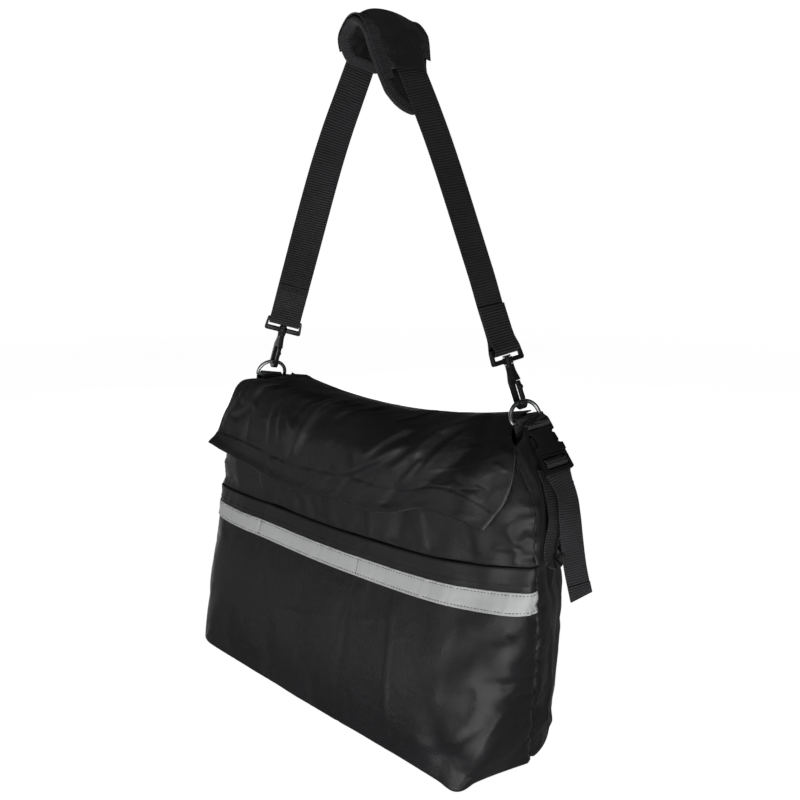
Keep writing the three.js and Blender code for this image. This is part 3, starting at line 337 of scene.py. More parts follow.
def lengths(grid, axis):
    """Distance in from the start of each row or column of a grid."""
    step = np.linalg.norm(np.diff(grid, axis=axis), axis=-1)
    start = np.zeros_like(np.take(step, [0], axis=axis))
    return np.concatenate([start, np.cumsum(step, axis=axis)], axis=axis)


def margin(run):
    """Distance to the nearer end of each row."""
    return np.minimum(run, run[:, -1:] - run)


def pushed(grid, shift):
    """Grid moved along its own normals."""
    return grid + facing(grid) * shift[..., None]


def squared(directions, axis):
    """Directions turned square to an axis."""
    return unit(directions - axis * (directions * axis).sum(-1, keepdims=True))


def at_run(values, run, places):
    """Vectors given along a run, at places between."""
    return np.stack([np.interp(places, run, values[:, k]) for k in range(3)], -1)


def blended(grid, rows, columns, row, column):
    """Points of a grid at places between its rows and columns."""
    j = np.interp(row, rows, np.arange(len(rows)))
    i = np.interp(column, columns, np.arange(len(columns)))
    j, i = np.broadcast_arrays(j, i)
    j0 = np.clip(j.astype(int), 0, len(rows) - 2)
    i0 = np.clip(i.astype(int), 0, len(columns) - 2)
    fj, fi = (j - j0)[..., None], (i - i0)[..., None]
    low = grid[j0, i0] * (1 - fi) + grid[j0, i0 + 1] * fi
    high = grid[j0 + 1, i0] * (1 - fi) + grid[j0 + 1, i0 + 1] * fi
    return low * (1 - fj) + high * fj


# Meshes

def placed(points):
    """Millimetres from the floor of the bag to metres in the frame."""
    return (np.asarray(points, float).reshape(-1, 3) - (0, 0, HANG_HEIGHT)) * MM


def linked(name, data):
    """New object in the scene."""
    item = bpy.data.objects.new(name, data)
    bpy.context.scene.collection.objects.link(item)
    return item


def make_piece(name, points, faces, finish, lay=None):
    """Mesh object from points in millimetres from the floor of the bag, riding on the bag."""
    points = placed(points)
    mesh = bpy.data.meshes.new(name)
    mesh.from_pydata(points.tolist(), [], [list(map(int, f)) for f in faces])
    if lay is not None:
        flat = np.zeros((len(points), 3), np.float32)
        flat[:, :2] = np.asarray(lay, float).reshape(-1, 2) * MM
        mesh.attributes.new("lay", "FLOAT_VECTOR", "POINT").data.foreach_set("vector", flat.ravel())
    shell = bmesh.new()
    shell.from_mesh(mesh)
    bmesh.ops.recalc_face_normals(shell, faces=shell.faces)
    shell.to_mesh(mesh)
    shell.free()
    mesh.polygons.foreach_set("use_smooth", [True] * len(mesh.polygons))
    mesh.update()
    mesh.materials.append(bpy.data.materials[finish])
    piece = linked(name, mesh)
    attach(piece, "bag")
    return piece


def grid_faces(rows, columns, first=0, around=False, closed=False):
    """Faces of a grid of points, whose columns may run round and whose last row may join the first."""
    j, i = np.meshgrid(np.arange(rows if closed else rows - 1),
                       np.arange(columns if around else columns - 1), indexing="ij")
    k, n = (i + 1) % columns, (j + 1) % rows
    corners = [j * columns + i, j * columns + k, n * columns + k, n * columns + i]
    return first + np.stack(corners, -1).reshape(-1, 4)


def tube_faces(count, around, first=0):
    """Faces of a tube of rings of points, with a cap at both ends."""
    last = first + (count - 1) * around
    caps = [[first + k for k in reversed(range(around))], [last + k for k in range(around)]]
    return grid_faces(count, around, first, True).tolist() + caps


def border(rows, columns):
    """Indices round the edge of a grid, in order."""
    at = np.arange(rows * columns).reshape(rows, columns)
    return np.concatenate([at[0, :-1], at[:-1, -1], at[-1, :0:-1], at[:0:-1, 0]])


# How far a raw edge is rounded out, as a share of the cloth's thickness
RAW_EDGE = 0.45


def thick_cloth(grid, thick, lay):
    """Points, faces and lay of a cloth whose outer face is a grid, with a rounded raw edge."""
    rows, columns = grid.shape[:2]
    normal = facing(grid)
    thick = np.broadcast_to(np.asarray(thick, float), grid.shape[:2])[..., None]
    inner = grid - normal * thick
    middle = (grid + inner) / 2
    away = np.zeros_like(grid)
    away[0] += unit(grid[0] - grid[1])
    away[-1] += unit(grid[-1] - grid[-2])
    away[:, 0] += unit(grid[:, 0] - grid[:, 1])
    away[:, -1] += unit(grid[:, -1] - grid[:, -2])
    edge = border(rows, columns)
    rim = (middle + away * thick * RAW_EDGE).reshape(-1, 3)[edge]
    skin = rows * columns
    points = np.concatenate([grid.reshape(-1, 3), inner.reshape(-1, 3), rim])
    faces = [grid_faces(rows, columns), grid_faces(rows, columns, skin)[:, ::-1]]
    ahead = np.roll(edge, -1)
    ring = 2 * skin + np.arange(len(edge))
    next_ring = np.roll(ring, -1)
    faces.append(np.stack([ahead, edge, ring, next_ring], -1))
    faces.append(np.stack([next_ring, ring, skin + edge, skin + ahead], -1))
    flat = lay.reshape(-1, 2)
    return points, np.concatenate(faces), np.concatenate([flat, flat, flat[edge]])


def cloth_piece(name, grid, thick, finish):
    across, up = lengths(grid, 1), lengths(grid, 0)
    points, faces, lay = thick_cloth(grid, thick, np.stack([across, up], -1))
    return make_piece(name, points, faces, finish, lay)


def settle(grid, held, slack, press, steps, reach):
    """Lets a cloth that is a little too large for its seams buckle, and gives its grid back.

    held is how firmly each point stays in its place, slack the spare length, press the air behind it,
    and reach the most that a point moves, in millimetres."""
    rows, columns = grid.shape[:2]
    mesh = bpy.data.meshes.new("settling")
    mesh.from_pydata((grid.reshape(-1, 3) * MM).tolist(), [], grid_faces(rows, columns).tolist())
    cloth = linked("settling", mesh)
    scene = bpy.context.scene
    pins = cloth.vertex_groups.new(name="held")
    firm = np.round(np.broadcast_to(held, (rows, columns)).ravel(), 2)
    for weight in np.unique(firm):
        if weight > 0:
            pins.add(np.flatnonzero(firm == weight).tolist(), float(weight), "REPLACE")
    modifier = cloth.modifiers.new("Cloth", "CLOTH")
    rules = modifier.settings
    rules.quality = 4
    rules.mass = 0.2
    rules.tension_stiffness, rules.compression_stiffness, rules.shear_stiffness = 18, 18, 8
    rules.bending_stiffness = 0.25
    rules.vertex_group_mass = "held"
    rules.shrink_min = -slack
    rules.use_pressure = True
    rules.uniform_pressure_force = press
    rules.effector_weights.gravity = 0
    modifier.collision_settings.use_collision = False
    modifier.point_cache.frame_start, modifier.point_cache.frame_end = 1, steps
    for step in range(1, steps + 1):
        scene.frame_set(step)
    shaped = cloth.evaluated_get(bpy.context.evaluated_depsgraph_get()).data
    moved = np.empty(rows * columns * 3, np.float32)
    shaped.vertices.foreach_get("co", moved)
    scene.frame_set(1)
    bpy.data.objects.remove(cloth)
    bpy.data.meshes.remove(mesh)
    shift = moved.reshape(rows, columns, 3) / MM - grid
    far = np.linalg.norm(shift, axis=-1, keepdims=True)
    return grid + shift * (reach * np.tanh(far / reach) / np.maximum(far, 1e-6))


def holding(grid, free, low, high, sides):
    """How firmly a grid's points are held: inside it, in its first and last row and at its two sides."""
    held = np.full(grid.shape[:2], free)
    held[0], held[-1], held[:, 0], held[:, -1] = low, high, sides, sides
    return held


# Rings of one stitch: place along it, size and lift, as shares of its length and radius
STITCH_RINGS = [(-0.5, 0.3, -0.9), (-0.3, 0.95, 0.25), (0.0, 1.0, 0.55), (0.3, 0.95, 0.25), (0.5, 0.3, -0.9)]
THREAD_SIDES = 6
THREAD_TURN = np.arange(THREAD_SIDES)[:, None] * 2 * math.pi / THREAD_SIDES


def stitches(name, lines, finish="sewing_thread", *, pitch, length, radius):
    """One piece of many stitches along lines of (points, normals) on the cloth."""
    points, faces = [], []
    for line, normal in lines:
        run = lengths(line, 0)
        places = np.arange(pitch / 2, run[-1], pitch)
        at, up = at_run(line, run, places), unit(at_run(normal, run, places))
        along = unit(at_run(line, run, places + 0.5) - at_run(line, run, places - 0.5))
        wide = np.cross(along, up)
        spokes = wide[:, None] * np.cos(THREAD_TURN) + up[:, None] * np.sin(THREAD_TURN)
        rings = []
        for shift, size, lift in STITCH_RINGS:
            centre = at + along * shift * length + up * lift * radius
            rings.append(centre[:, None] + spokes * size * radius)
        points.append(np.stack(rings, 1).reshape(-1, 3))
    points = np.concatenate(points)
    for first in range(0, len(points), len(STITCH_RINGS) * THREAD_SIDES):
        faces += tube_faces(len(STITCH_RINGS), THREAD_SIDES, first)
    return make_piece(name, points, faces, finish)


def thread_piece(name, line, radius, finish):
    """Thin round thread laid along a line of points."""
    tangent = unit(np.gradient(line, axis=0))
    side = unit(np.cross(tangent, (0.3, 0.2, 1.0)))
    up = np.cross(tangent, side)
    rings = line[:, None] + radius * (np.cos(THREAD_TURN) * side[:, None] + np.sin(THREAD_TURN) * up[:, None])
    return make_piece(name, rings, tube_faces(*rings.shape[:2]), finish)


# Webbing

def through(points, step):
    """Points a step apart on a smooth curve through some points, and where each lies between them."""
    points = np.asarray(points, float)
    padded = np.concatenate([[2 * points[0] - points[1]], points, [2 * points[-1] - points[-2]]])
    spans = np.linalg.norm(np.diff(points, axis=0), axis=1)
    out, where = [], []
    for k, span in enumerate(spans):
        count = max(int(math.ceil(span / step)), 1)
        last = k == len(spans) - 1
        t = (np.linspace(0, 1, count) if last else np.arange(count) / count)[:, None]
        before, a, b, after = padded[k], padded[k + 1], padded[k + 2], padded[k + 3]
        near, far = np.linalg.norm(a - before), np.linalg.norm(after - b)
        leave = (b - before) * span / max(span + near, 1e-9)
        arrive = (after - a) * span / max(span + far, 1e-9)
        out.append(a * (1 + 2 * t) * (1 - t) ** 2 + leave * t * (1 - t) ** 2 + b * t * t * (3 - 2 * t)
                   + arrive * t * t * (t - 1))
        where.append(k + t[:, 0])
    return np.concatenate(out), np.concatenate(where)


def band_along(line, wide):
    """Stations of a flat band: points, across directions, out directions and the run along it."""
    tangent = unit(np.gradient(line, axis=0))
    wide = squared(wide, tangent)
    out = np.cross(tangent, wide)
    return SimpleNamespace(line=line, wide=wide, out=out, tangent=tangent, run=lengths(line, 0))


def ribbon(points, across, step):
    """Band a step between stations, through some points with an across direction at each."""
    line, where = through(points, step)
    across = np.asarray(across, float)
    return band_along(line, at_run(across, np.arange(len(across)), where))


# Places across a webbing as shares of its half width, how thick it is there, and how deep its ribs are
WEB_SHARES = np.array([-1, -0.985, -0.94, -0.8, -0.5, -0.2, 0.2, 0.5, 0.8, 0.94, 0.985, 1])
WEB_FULL = np.array([0.25, 0.7, 1.1, 1, 0.97, 1, 1, 0.97, 1, 1.1, 0.7, 0.25])
WEB_RIB_DEPTH = 0.4


def webbing_piece(name, band, width, thick, pitch, finish="buckle_webbing", slant=0.0):
    """Woven band with ribs across it, thicker at its two selvedges, which may end on a slant."""
    half = width / 2
    rib = 0.5 - 0.5 * np.cos(2 * math.pi * band.run / pitch)
    depth = thick / 2 * (1 - WEB_RIB_DEPTH * (1 - rib))[:, None] * WEB_FULL
    lean = slant * smooth(1 - (band.run[-1] - band.run) / TAIL_FOLD)[:, None] * WEB_SHARES * half
    middle = band.line[:, None] + band.wide[:, None] * (WEB_SHARES * half)[:, None]
    middle = middle + band.tangent[:, None] * lean[..., None]
    out = band.out[:, None] * depth[..., None]
    rings = np.concatenate([middle + out, (middle - out)[:, ::-1]], 1)
    places = np.concatenate([WEB_SHARES, WEB_SHARES[::-1]]) * half
    lay = np.stack(np.broadcast_arrays(places[None, :], band.run[:, None]), -1)
    return make_piece(name, rings, tube_faces(*rings.shape[:2]), finish, lay)


def flat_across(turn):
    return np.array([math.cos(turn), math.sin(turn), 0.0])


def strap_point(s):
    """Place on the strap at a length from its top, positive to the right."""
    s = np.asarray(s, float)
    angle = np.minimum(np.abs(s), ARCH_HALF) / ARCH_RADIUS
    past = np.maximum(np.abs(s) - ARCH_HALF, 0)
    x = np.sign(s) * (ARCH_RADIUS * np.sin(angle) + past * math.sin(LEAN))
    z = ARCH_CENTRE + ARCH_RADIUS * np.cos(angle) - past * math.cos(LEAN)
    twist = ARCH_TWIST * np.exp(-((s / TWIST_REACH) ** 2))
    return np.stack([x * np.cos(twist), x * np.sin(twist), z], -1)


def strap_turn(s):
    """Turn of the strap's breadth about the upright at a length from its top."""
    share = smooth(np.abs(s) / STRAP_HALF)
    return TOP_TURN + (np.where(s < 0, LEFT_TURN, RIGHT_TURN) - TOP_TURN) * share


# Step to either side that a direction along the strap is taken over
STRAP_NEAR = 2


def strap_frame(s):
    """Points, across and out directions of the strap at lengths from its top."""
    s = np.asarray(s, float)
    tangent = unit(strap_point(s + STRAP_NEAR) - strap_point(s - STRAP_NEAR))
    turn = strap_turn(s)
    wide = squared(np.stack([np.cos(turn), np.sin(turn), 0 * turn], -1), tangent)
    return strap_point(s), wide, np.cross(tangent, wide)


def frame_at(origin, across, up):
    """Place of a piece of hardware: its origin and the directions across, through and up it."""
    across = squared(across, up)
    return SimpleNamespace(origin=np.array(origin, float), across=across, through=np.cross(up, across), up=up)


def end_frame(side, turn, origin):
    """Place of the hardware at one end of the strap, up along the pull."""
    return frame_at(origin, flat_across(turn), np.array([-side * math.sin(LEAN), 0, math.cos(LEAN)]))


def in_frame(place, across, through_, up):
    """Point at some millimetres across, through and up a place of the hardware."""
    return place.origin + place.across * across + place.through * through_ + place.up * up


def loop_origin(side):
    lift = LEFT_LOOP_LIFT if side < 0 else 0.0
    return np.array([side * (LOOP_X - lift * math.sin(LEAN)), 0, LOOP_Z + lift * math.cos(LEAN)])


def ring_origin(side):
    return loop_origin(side) + np.array([side * math.sin(LEAN), 0, -math.cos(LEAN)]) * RING_DROP


def buckle_frame(end):
    """Place of a buckle, its origin at the mouth of the socket."""
    up = unit(np.array([-end.side * math.sin(BUCKLE_LEAN), end.buckle_tip, math.cos(BUCKLE_LEAN)]))
    x, y, z = end.mouth
    return frame_at((end.side * x, y, z), flat_across(end.buckle_turn) * end.side, up)


def wall_x(y, z):
    """How far out the bag's right side is."""
    row = level(z)
    return side_cloth(1, (y - row.side_y) / (row.back_y - row.side_y), np.asarray(z, float))[0]


# Finishes

def node_group(name, inputs, outputs):
    """Empty shader node group and its two ends. An input without a default is a vector."""
    tree = bpy.data.node_groups.new(name, "ShaderNodeTree")
    for label, default in inputs.items():
        kind = "NodeSocketVector" if default is None else "NodeSocketFloat"
        socket = tree.interface.new_socket(name=label, in_out="INPUT", socket_type=kind)
        if default is not None:
            socket.default_value = default
    for label in outputs:
        tree.interface.new_socket(name=label, in_out="OUTPUT", socket_type="NodeSocketFloat")
    return tree, tree.nodes.new("NodeGroupInput"), tree.nodes.new("NodeGroupOutput")


def math_node(tree, operation, a, b=None, c=None):
    node = tree.nodes.new("ShaderNodeMath")
    node.operation = operation
    for k, value in enumerate((a, b, c)):
        if value is None:
            continue
        if isinstance(value, (int, float)):
            node.inputs[k].default_value = value
        else:
            tree.links.new(value, node.inputs[k])
    return node.outputs[0]


def noise(tree, vector, scale, detail=3.0, roughness=0.55):
    node = tree.nodes.new("ShaderNodeTexNoise")
    node.inputs["Scale"].default_value = scale
    node.inputs["Detail"].default_value = detail
    node.inputs["Roughness"].default_value = roughness
    tree.links.new(vector, node.inputs["Vector"])
    return node.outputs["Fac"]


def mapped(tree, value, low, high, to_low, to_high):
    """Value brought from one range to another, and kept within it."""
    node = tree.nodes.new("ShaderNodeMapRange")
    node.inputs[1].default_value, node.inputs[2].default_value = low, high
    node.inputs[3].default_value, node.inputs[4].default_value = to_low, to_high
    tree.links.new(value, node.inputs[0])
    return node.outputs[0]


def weave_group():
    """Over and under of a plain weave, with small crinkles, from the cloth's own lay in metres, and painted
    shade: its Shade darkens the weave's hollows and lightens its raised threads.
    """
    inputs = {"Lay": None, "Threads per metre": 420.0, "Crinkle": 0.0}
    tree, start, end = node_group("plain_weave", inputs, ["Height", "Shade"])
    lay = start.outputs["Lay"]
    part = tree.nodes.new("ShaderNodeSeparateXYZ")
    tree.links.new(lay, part.inputs[0])
    waves = []
    for axis in (0, 1):
        place = math_node(tree, "MULTIPLY", part.outputs[axis], start.outputs["Threads per metre"])
        waves.append(math_node(tree, "SINE", math_node(tree, "MULTIPLY", place, math.pi * 2)))
    cross = math_node(tree, "MULTIPLY", waves[0], waves[1])
    slub = noise(tree, lay, scale=900.0, detail=2.0)
    threads = math_node(tree, "MULTIPLY_ADD", slub, 0.5, mapped(tree, cross, -1, 1, 0, 1))
    swell = math_node(tree, "MULTIPLY_ADD", noise(tree, lay, scale=26.0, detail=4.0), 2.0, -1.0)
    ridge = mapped(tree, math_node(tree, "ABSOLUTE", swell), 0, 0.22, 1, 0)
    patches = mapped(tree, noise(tree, lay, scale=9.0, detail=2.0), 0.42, 0.62, 0.15, 1)
    crinkle = math_node(tree, "MULTIPLY", ridge, patches)
    height = math_node(tree, "MULTIPLY_ADD", crinkle, start.outputs["Crinkle"], threads)
    tree.links.new(height, end.inputs["Height"])
    # Shade is painted shade and light, following the weave's height: darker where it is low, lighter where it
    # is high
    tree.links.new(mapped(tree, cross, -1, 1, 0.7, 1.25), end.inputs["Shade"])


def ribs_group():
    """Ribs across a webbing, broken into staggered yarns, from its own lay in metres, and painted shade: its
    Shade makes the grooves between the ribs dark and their crests light.
    """
    inputs = {"Lay": None, "Ribs per metre": 380.0, "Yarns per metre": 330.0}
    tree, start, end = node_group("webbing_ribs", inputs, ["Height", "Shade"])
    lay = start.outputs["Lay"]
    part = tree.nodes.new("ShaderNodeSeparateXYZ")
    tree.links.new(lay, part.inputs[0])
    straight = math_node(tree, "MULTIPLY", part.outputs[1], start.outputs["Ribs per metre"])
    wander = noise(tree, lay, scale=70.0, detail=2.0)
    rib = math_node(tree, "MULTIPLY_ADD", wander, 0.5, straight)
    odd = math_node(tree, "FLOORED_MODULO", math_node(tree, "FLOOR", rib), 2.0)
    yarn = math_node(tree, "MULTIPLY", part.outputs[0], start.outputs["Yarns per metre"])
    yarn = math_node(tree, "ADD", yarn, math_node(tree, "MULTIPLY", odd, 0.5))
    crests = []
    for place in (rib, yarn):
        wave = math_node(tree, "SINE", math_node(tree, "MULTIPLY", place, math.pi))
        crests.append(math_node(tree, "ABSOLUTE", wave))
    round_rib = math_node(tree, "POWER", crests[0], 0.7)
    height = math_node(tree, "MULTIPLY", round_rib, mapped(tree, crests[1], 0, 1, 0.5, 1.0))
    fuzz = noise(tree, lay, scale=1400.0, detail=2.0)
    tree.links.new(math_node(tree, "MULTIPLY_ADD", fuzz, 0.25, height), end.inputs["Height"])
    # Shade is painted shade in the grooves and painted highlight on the crests, from 0.06 to 2 times the
    # colour
    tree.links.new(mapped(tree, height, 0.15, 0.95, 0.06, 2.0), end.inputs["Shade"])


def wear_group():
    """Soft blotches, fine scuffs and a little dust, from the place on the object."""
    tree, start, end = node_group("handling_wear", {"Place": None, "Dust": 0.3}, ["Blotch", "Scuff", "Dust"])
    place = start.outputs["Place"]
    blotch = noise(tree, place, scale=9.0, detail=4.0)
    scuff = noise(tree, place, scale=160.0, detail=4.0, roughness=0.7)
    specks = mapped(tree, noise(tree, place, scale=420.0, detail=1.0), 0.66, 0.8, 0, 1)
    tree.links.new(mapped(tree, blotch, 0.3, 0.7, 0, 1), end.inputs["Blotch"])
    tree.links.new(mapped(tree, scuff, 0.35, 0.75, 0, 1), end.inputs["Scuff"])
    tree.links.new(math_node(tree, "MULTIPLY", specks, start.outputs["Dust"]), end.inputs["Dust"])


def mix_colour(tree, factor, a, b, blend="MIX"):
    node = tree.nodes.new("ShaderNodeMix")
    node.data_type = "RGBA"
    node.blend_type = blend
    for socket, value in ((node.inputs[0], factor), (node.inputs[6], a), (node.inputs[7], b)):
        if isinstance(value, (tuple, list)):
            socket.default_value = (*value, 1.0)
        elif isinstance(value, float):
            socket.default_value = value
        else:
            tree.links.new(value, socket)
    return node.outputs[2]


DUST_COLOUR = (0.06, 0.058, 0.055)


def finish_of(name, colour, bright, rough, rough_span, dust, pattern=None, depth=0.0, grain_scale=900.0,
              **constants):
    """Material from one colour to a brighter one, with worn roughness and a woven pattern or a grain; a
    pattern's Shade multiplies the colour with painted shade in its hollows and painted light on its crests.
    """
    material = bpy.data.materials.new(name)
    material.use_nodes = True
    tree = material.node_tree
    shader = tree.nodes["Principled BSDF"]
    for label, value in constants.items():
        shader.inputs[label.replace("_", " ").title().replace("Ior", "IOR")].default_value = value
    place = tree.nodes.new("ShaderNodeTexCoord").outputs["Object"]
    wear = tree.nodes.new("ShaderNodeGroup")
    wear.node_tree = bpy.data.node_groups["handling_wear"]
    wear.inputs["Dust"].default_value = dust
    tree.links.new(place, wear.inputs["Place"])
    tone = mix_colour(tree, wear.outputs["Blotch"], colour, bright)
    if pattern:
        lay = tree.nodes.new("ShaderNodeAttribute")
        lay.attribute_name = "lay"
        weave = tree.nodes.new("ShaderNodeGroup")
        weave.node_tree = bpy.data.node_groups[pattern[0]]
        for label, value in pattern[1].items():
            weave.inputs[label].default_value = value
        tree.links.new(lay.outputs["Vector"], weave.inputs["Lay"])
        # Colour times the pattern's painted shade: darker in its hollows, lighter on its crests
        tone = mix_colour(tree, 1.0, tone, weave.outputs["Shade"], "MULTIPLY")
        height = weave.outputs["Height"]
    else:
        height = noise(tree, place, grain_scale)
    tone = mix_colour(tree, wear.outputs["Dust"], tone, DUST_COLOUR)
    tree.links.new(tone, shader.inputs["Base Color"])
    uneven = math_node(tree, "MULTIPLY_ADD", wear.outputs["Scuff"], 0.5, wear.outputs["Blotch"])
    worn = mapped(tree, uneven, 0, 1.5, rough - rough_span, rough + rough_span)
    tree.links.new(worn, shader.inputs["Roughness"])
    bump = tree.nodes.new("ShaderNodeBump")
    bump.inputs["Strength"].default_value = 1.0
    bump.inputs["Distance"].default_value = depth * MM
    tree.links.new(height, bump.inputs["Height"])
    tree.links.new(bump.outputs["Normal"], shader.inputs["Normal"])


def scaled(colour, share):
    return tuple(min(c * share, 1.0) for c in colour)


def woven(threads, crinkle=0.0):
    return "plain_weave", {"Threads per metre": threads, "Crinkle": crinkle}


def ribbed(pitch, yarn):
    return "webbing_ribs", {"Ribs per metre": 1 / pitch, "Yarns per metre": 1 / yarn}


def make_finishes(settings):
    weave_group()
    ribs_group()
    wear_group()
    cloth, web, plastic = settings.cloth_colour[:], settings.webbing_colour[:], settings.plastic_colour[:]
    tape, wire = settings.tape_and_reflection_colour[:], settings.wire_colour[:]
    strap_rib, buckle_rib = settings.strap_rib, settings.buckle_rib
    fuzzy = {"specular_ior_level": 0.3, "sheen_weight": 0.1, "sheen_roughness": 0.45}
    thread = {"rough_span": 0.08, "dust": 0.2, "depth": 0.1, "grain_scale": 2600.0}
    finish_of("black_nylon", cloth, scaled(cloth, 1.5), rough=0.42, rough_span=0.06, dust=0.25,
              pattern=woven(440.0, 2.2), depth=0.17,
              specular_ior_level=0.55, sheen_weight=0.12, sheen_roughness=0.4)
    finish_of("lining_cloth", scaled(cloth, 0.8), cloth, rough=0.62, rough_span=0.08, dust=0.2,
              pattern=woven(520.0), depth=0.12,
              specular_ior_level=0.4, sheen_weight=0.1, sheen_roughness=0.5)
    # Webbing colours are raised well above the webbing's own, so that the painted rib shade multiplying them
    # gives light crests and dark grooves
    finish_of("strap_webbing", scaled(web, 1.8), scaled(web, 3.2), rough=0.6, rough_span=0.1, dust=0.3,
              pattern=ribbed(strap_rib, strap_rib * 0.8), depth=0.7, **fuzzy)
    finish_of("buckle_webbing", scaled(web, 2.2), scaled(web, 4.0), rough=0.6, rough_span=0.1, dust=0.3,
              pattern=ribbed(buckle_rib, buckle_rib), depth=0.7, **fuzzy)
    finish_of("edge_binding", scaled(web, 2.2), scaled(web, 4.0), rough=0.62, rough_span=0.08, dust=0.3,
              pattern=ribbed(buckle_rib * 0.8, buckle_rib), depth=0.5, **fuzzy)
    finish_of("sewing_thread", scaled(web, 1.5), scaled(web, 2.4), rough=0.55, specular_ior_level=0.4,
              **thread)
    # Light colour of the thread along the flap's edge: a painted highlight of that edge
    finish_of("edge_thread", (0.09, 0.09, 0.092), (0.17, 0.17, 0.172), rough=0.45, specular_ior_level=0.5,
              **thread)
    finish_of("tape_thread", (0.05, 0.05, 0.052), (0.09, 0.09, 0.092), rough=0.6, specular_ior_level=0.35,
              **thread)
    finish_of("moulded_plastic", plastic, scaled(plastic, 1.5), rough=0.34, rough_span=0.07, dust=0.3,
              depth=0.05, grain_scale=1500.0, specular_ior_level=0.5)
    finish_of("plated_wire", wire, scaled(wire, 1.35), rough=0.34, rough_span=0.08, dust=0.05,
              depth=0.03, grain_scale=1800.0, metallic=1.0)
    # Tape colour: its own light grey plus painted reflection for its retroreflective glare
    finish_of("reflective_tape", tape, scaled(tape, 1.12), rough=0.42, rough_span=0.08, dust=0.1,
              pattern=woven(900.0), depth=0.05, specular_ior_level=0.5)


# Walls of the bag

# Groove of the seams: its depth, its half width and how far it wavers
SEAM_GROOVE, SEAM_WIDTH, SEAM_WAVER = 3.0, 2.4, 0.7
# Rise of the cloth's top where front and side meet, where on the front it starts, and the rise at the back
CORNER_RISE, CORNER_START, CORNER_SPAN, CORNER_LOW, BACK_RISE = 21.0, 0.88, 0.1, 255.0, 9.0
# The ear at the bottom right corner: place across the front, breadth, height, reach and share of drop
EAR_PLACE, EAR_BREADTH, EAR_HEIGHT, EAR_REACH, EAR_DROP = 0.67, 0.13, 34.0, 7.0, 0.5
# Where across the front its rumples start, and how much further on they are full
RUMPLE_START, RUMPLE_SPAN = 90.0, 70.0
# How near its seams a cloth is kept flat: the front's, those of the sides and back, and the floor's
FRONT_HOLD, SIDE_HOLD, FLOOR_HOLD = 9.0, 10.0, 14.0
# Shares of the way from a side's front seam to its back seam: its middle, its corner and its back's rise
SIDE_MIDDLE, SIDE_CORNER, BACK_START, BACK_SPAN = 0.5, 0.25, 0.62, 0.1
# Seams up the pocket, and how far its hem's and its tape's stitches lie from the edge
DIVIDERS, HEM_STITCH, TAPE_SEAM = (-137.0, 22.0), 2.5, 2.2
TAPE_LOW = TAPE_TOP - TAPE_WIDTH
# How far the pocket's hem stands out, and how much thicker it is
HEM_LIFT, HEM_EXTRA = 0.6, 1.0
# How far the front panel lies back behind the pocket
POCKET_SINK = 0.5
# How far the pocket's mouth gapes down its cloth, in from its sides and away from its dividers
GAPE_DOWN, GAPE_SIDE, GAPE_DIVIDER = 14.0, 40.0, 9.0
# Folds of the pocket and of the front panel above it, by x and z
FRONT_FOLDS = [
    ([(74, 168), (82, 110), (91, 18)], 2.4, 24, "pressed"),
    ([(75, 160), (82, 112), (90, 26)], 0.9, 2.6, "soft"),
    ([(-88, 95), (-22, 108), (35, 121), (77, 133)], 0.9, 2.8, "pressed"),
    ([(-50, 166), (-39, 122)], 1.0, 3.0, "pressed"),
    ([(-106, 150), (-99, 106)], 0.7, 3.0, "soft"),
    ([(-92, 84), (-70, 77)], 1.0, 2.8, "soft"),
    ([(118, 30), (150, 32), (176, 52), (190, 74)], 1.9, 8, "soft"),
    ([(146, 20), (178, 38), (198, 64)], -1.6, 7, "soft"),
    ([(217, 86), (200, 52), (182, 16)], 2.1, 8, "steep_right"),
    ([(223, 70), (213, 44), (205, 18)], 1.5, 6, "soft"),
    ([(146, 86), (190, 84)], -1.6, 20, "soft"),
    ([(184, 105), (191, 99), (192, 90)], 1.0, 3, "soft"),
    ([(150, 140), (184, 132)], -1.1, 16, "soft"),
    ([(204, 150), (213, 108)], 1.6, 12, "soft"),
    ([(227, 172), (211, 150)], -2.2, 6, "soft"),
    ([(228, 130), (217, 119)], -1.6, 5, "soft"),
    ([(227, 112), (210, 103)], -1.9, 5, "soft"),
    ([(225, 92), (208, 84)], -1.5, 5, "soft"),
    ([(150, 176), (168, 158), (172, 140)], 1.1, 9, "steep_left"),
    ([(-214, 172), (-200, 150), (-206, 60)], 1.8, 12, "soft"),
]
UPPER_FOLDS = [
    ([(207, 233), (192, 256)], 2.8, 5, "pressed"),
    ([(207, 233), (219, 250)], 2.4, 5, "pressed"),
    ([(207, 233), (206, 214)], 2.2, 4, "pressed"),
    ([(207, 233), (180, 228)], 1.8, 5, "soft"),
    ([(150, 268), (168, 214)], 1.9, 9, "steep_right"),
    ([(92, 254), (104, 206)], 1.7, 8, "steep_left"),
    ([(70, 250), (64, 206)], -2.0, 11, "soft"),
    ([(20, 262), (28, 204)], 1.3, 6, "steep_right"),
    ([(-40, 252), (-28, 204)], 1.4, 7, "steep_right"),
    ([(-96, 258), (-84, 208)], 1.4, 8, "steep_left"),
    ([(-150, 262), (-140, 212)], 1.6, 7, "steep_right"),
    ([(-196, 262), (-186, 214)], 1.3, 7, "soft"),
    ([(-120, 270), (-70, 230), (-60, 208)], 1.4, 6, "soft"),
]


def ear(s, z):
    """How far the bottom right corner stands out, like the corner of an envelope."""
    return EAR_REACH * bell(s - EAR_PLACE, EAR_BREADTH) * smooth(1 - z / EAR_HEIGHT)


def seam_line(near, z, seed):
    """Groove of a wavering seam, by the distance from it."""
    return -SEAM_GROOVE * bell(near + SEAM_WAVER * ripple(z, z * 0, seed, scale=9, modes=12), SEAM_WIDTH)


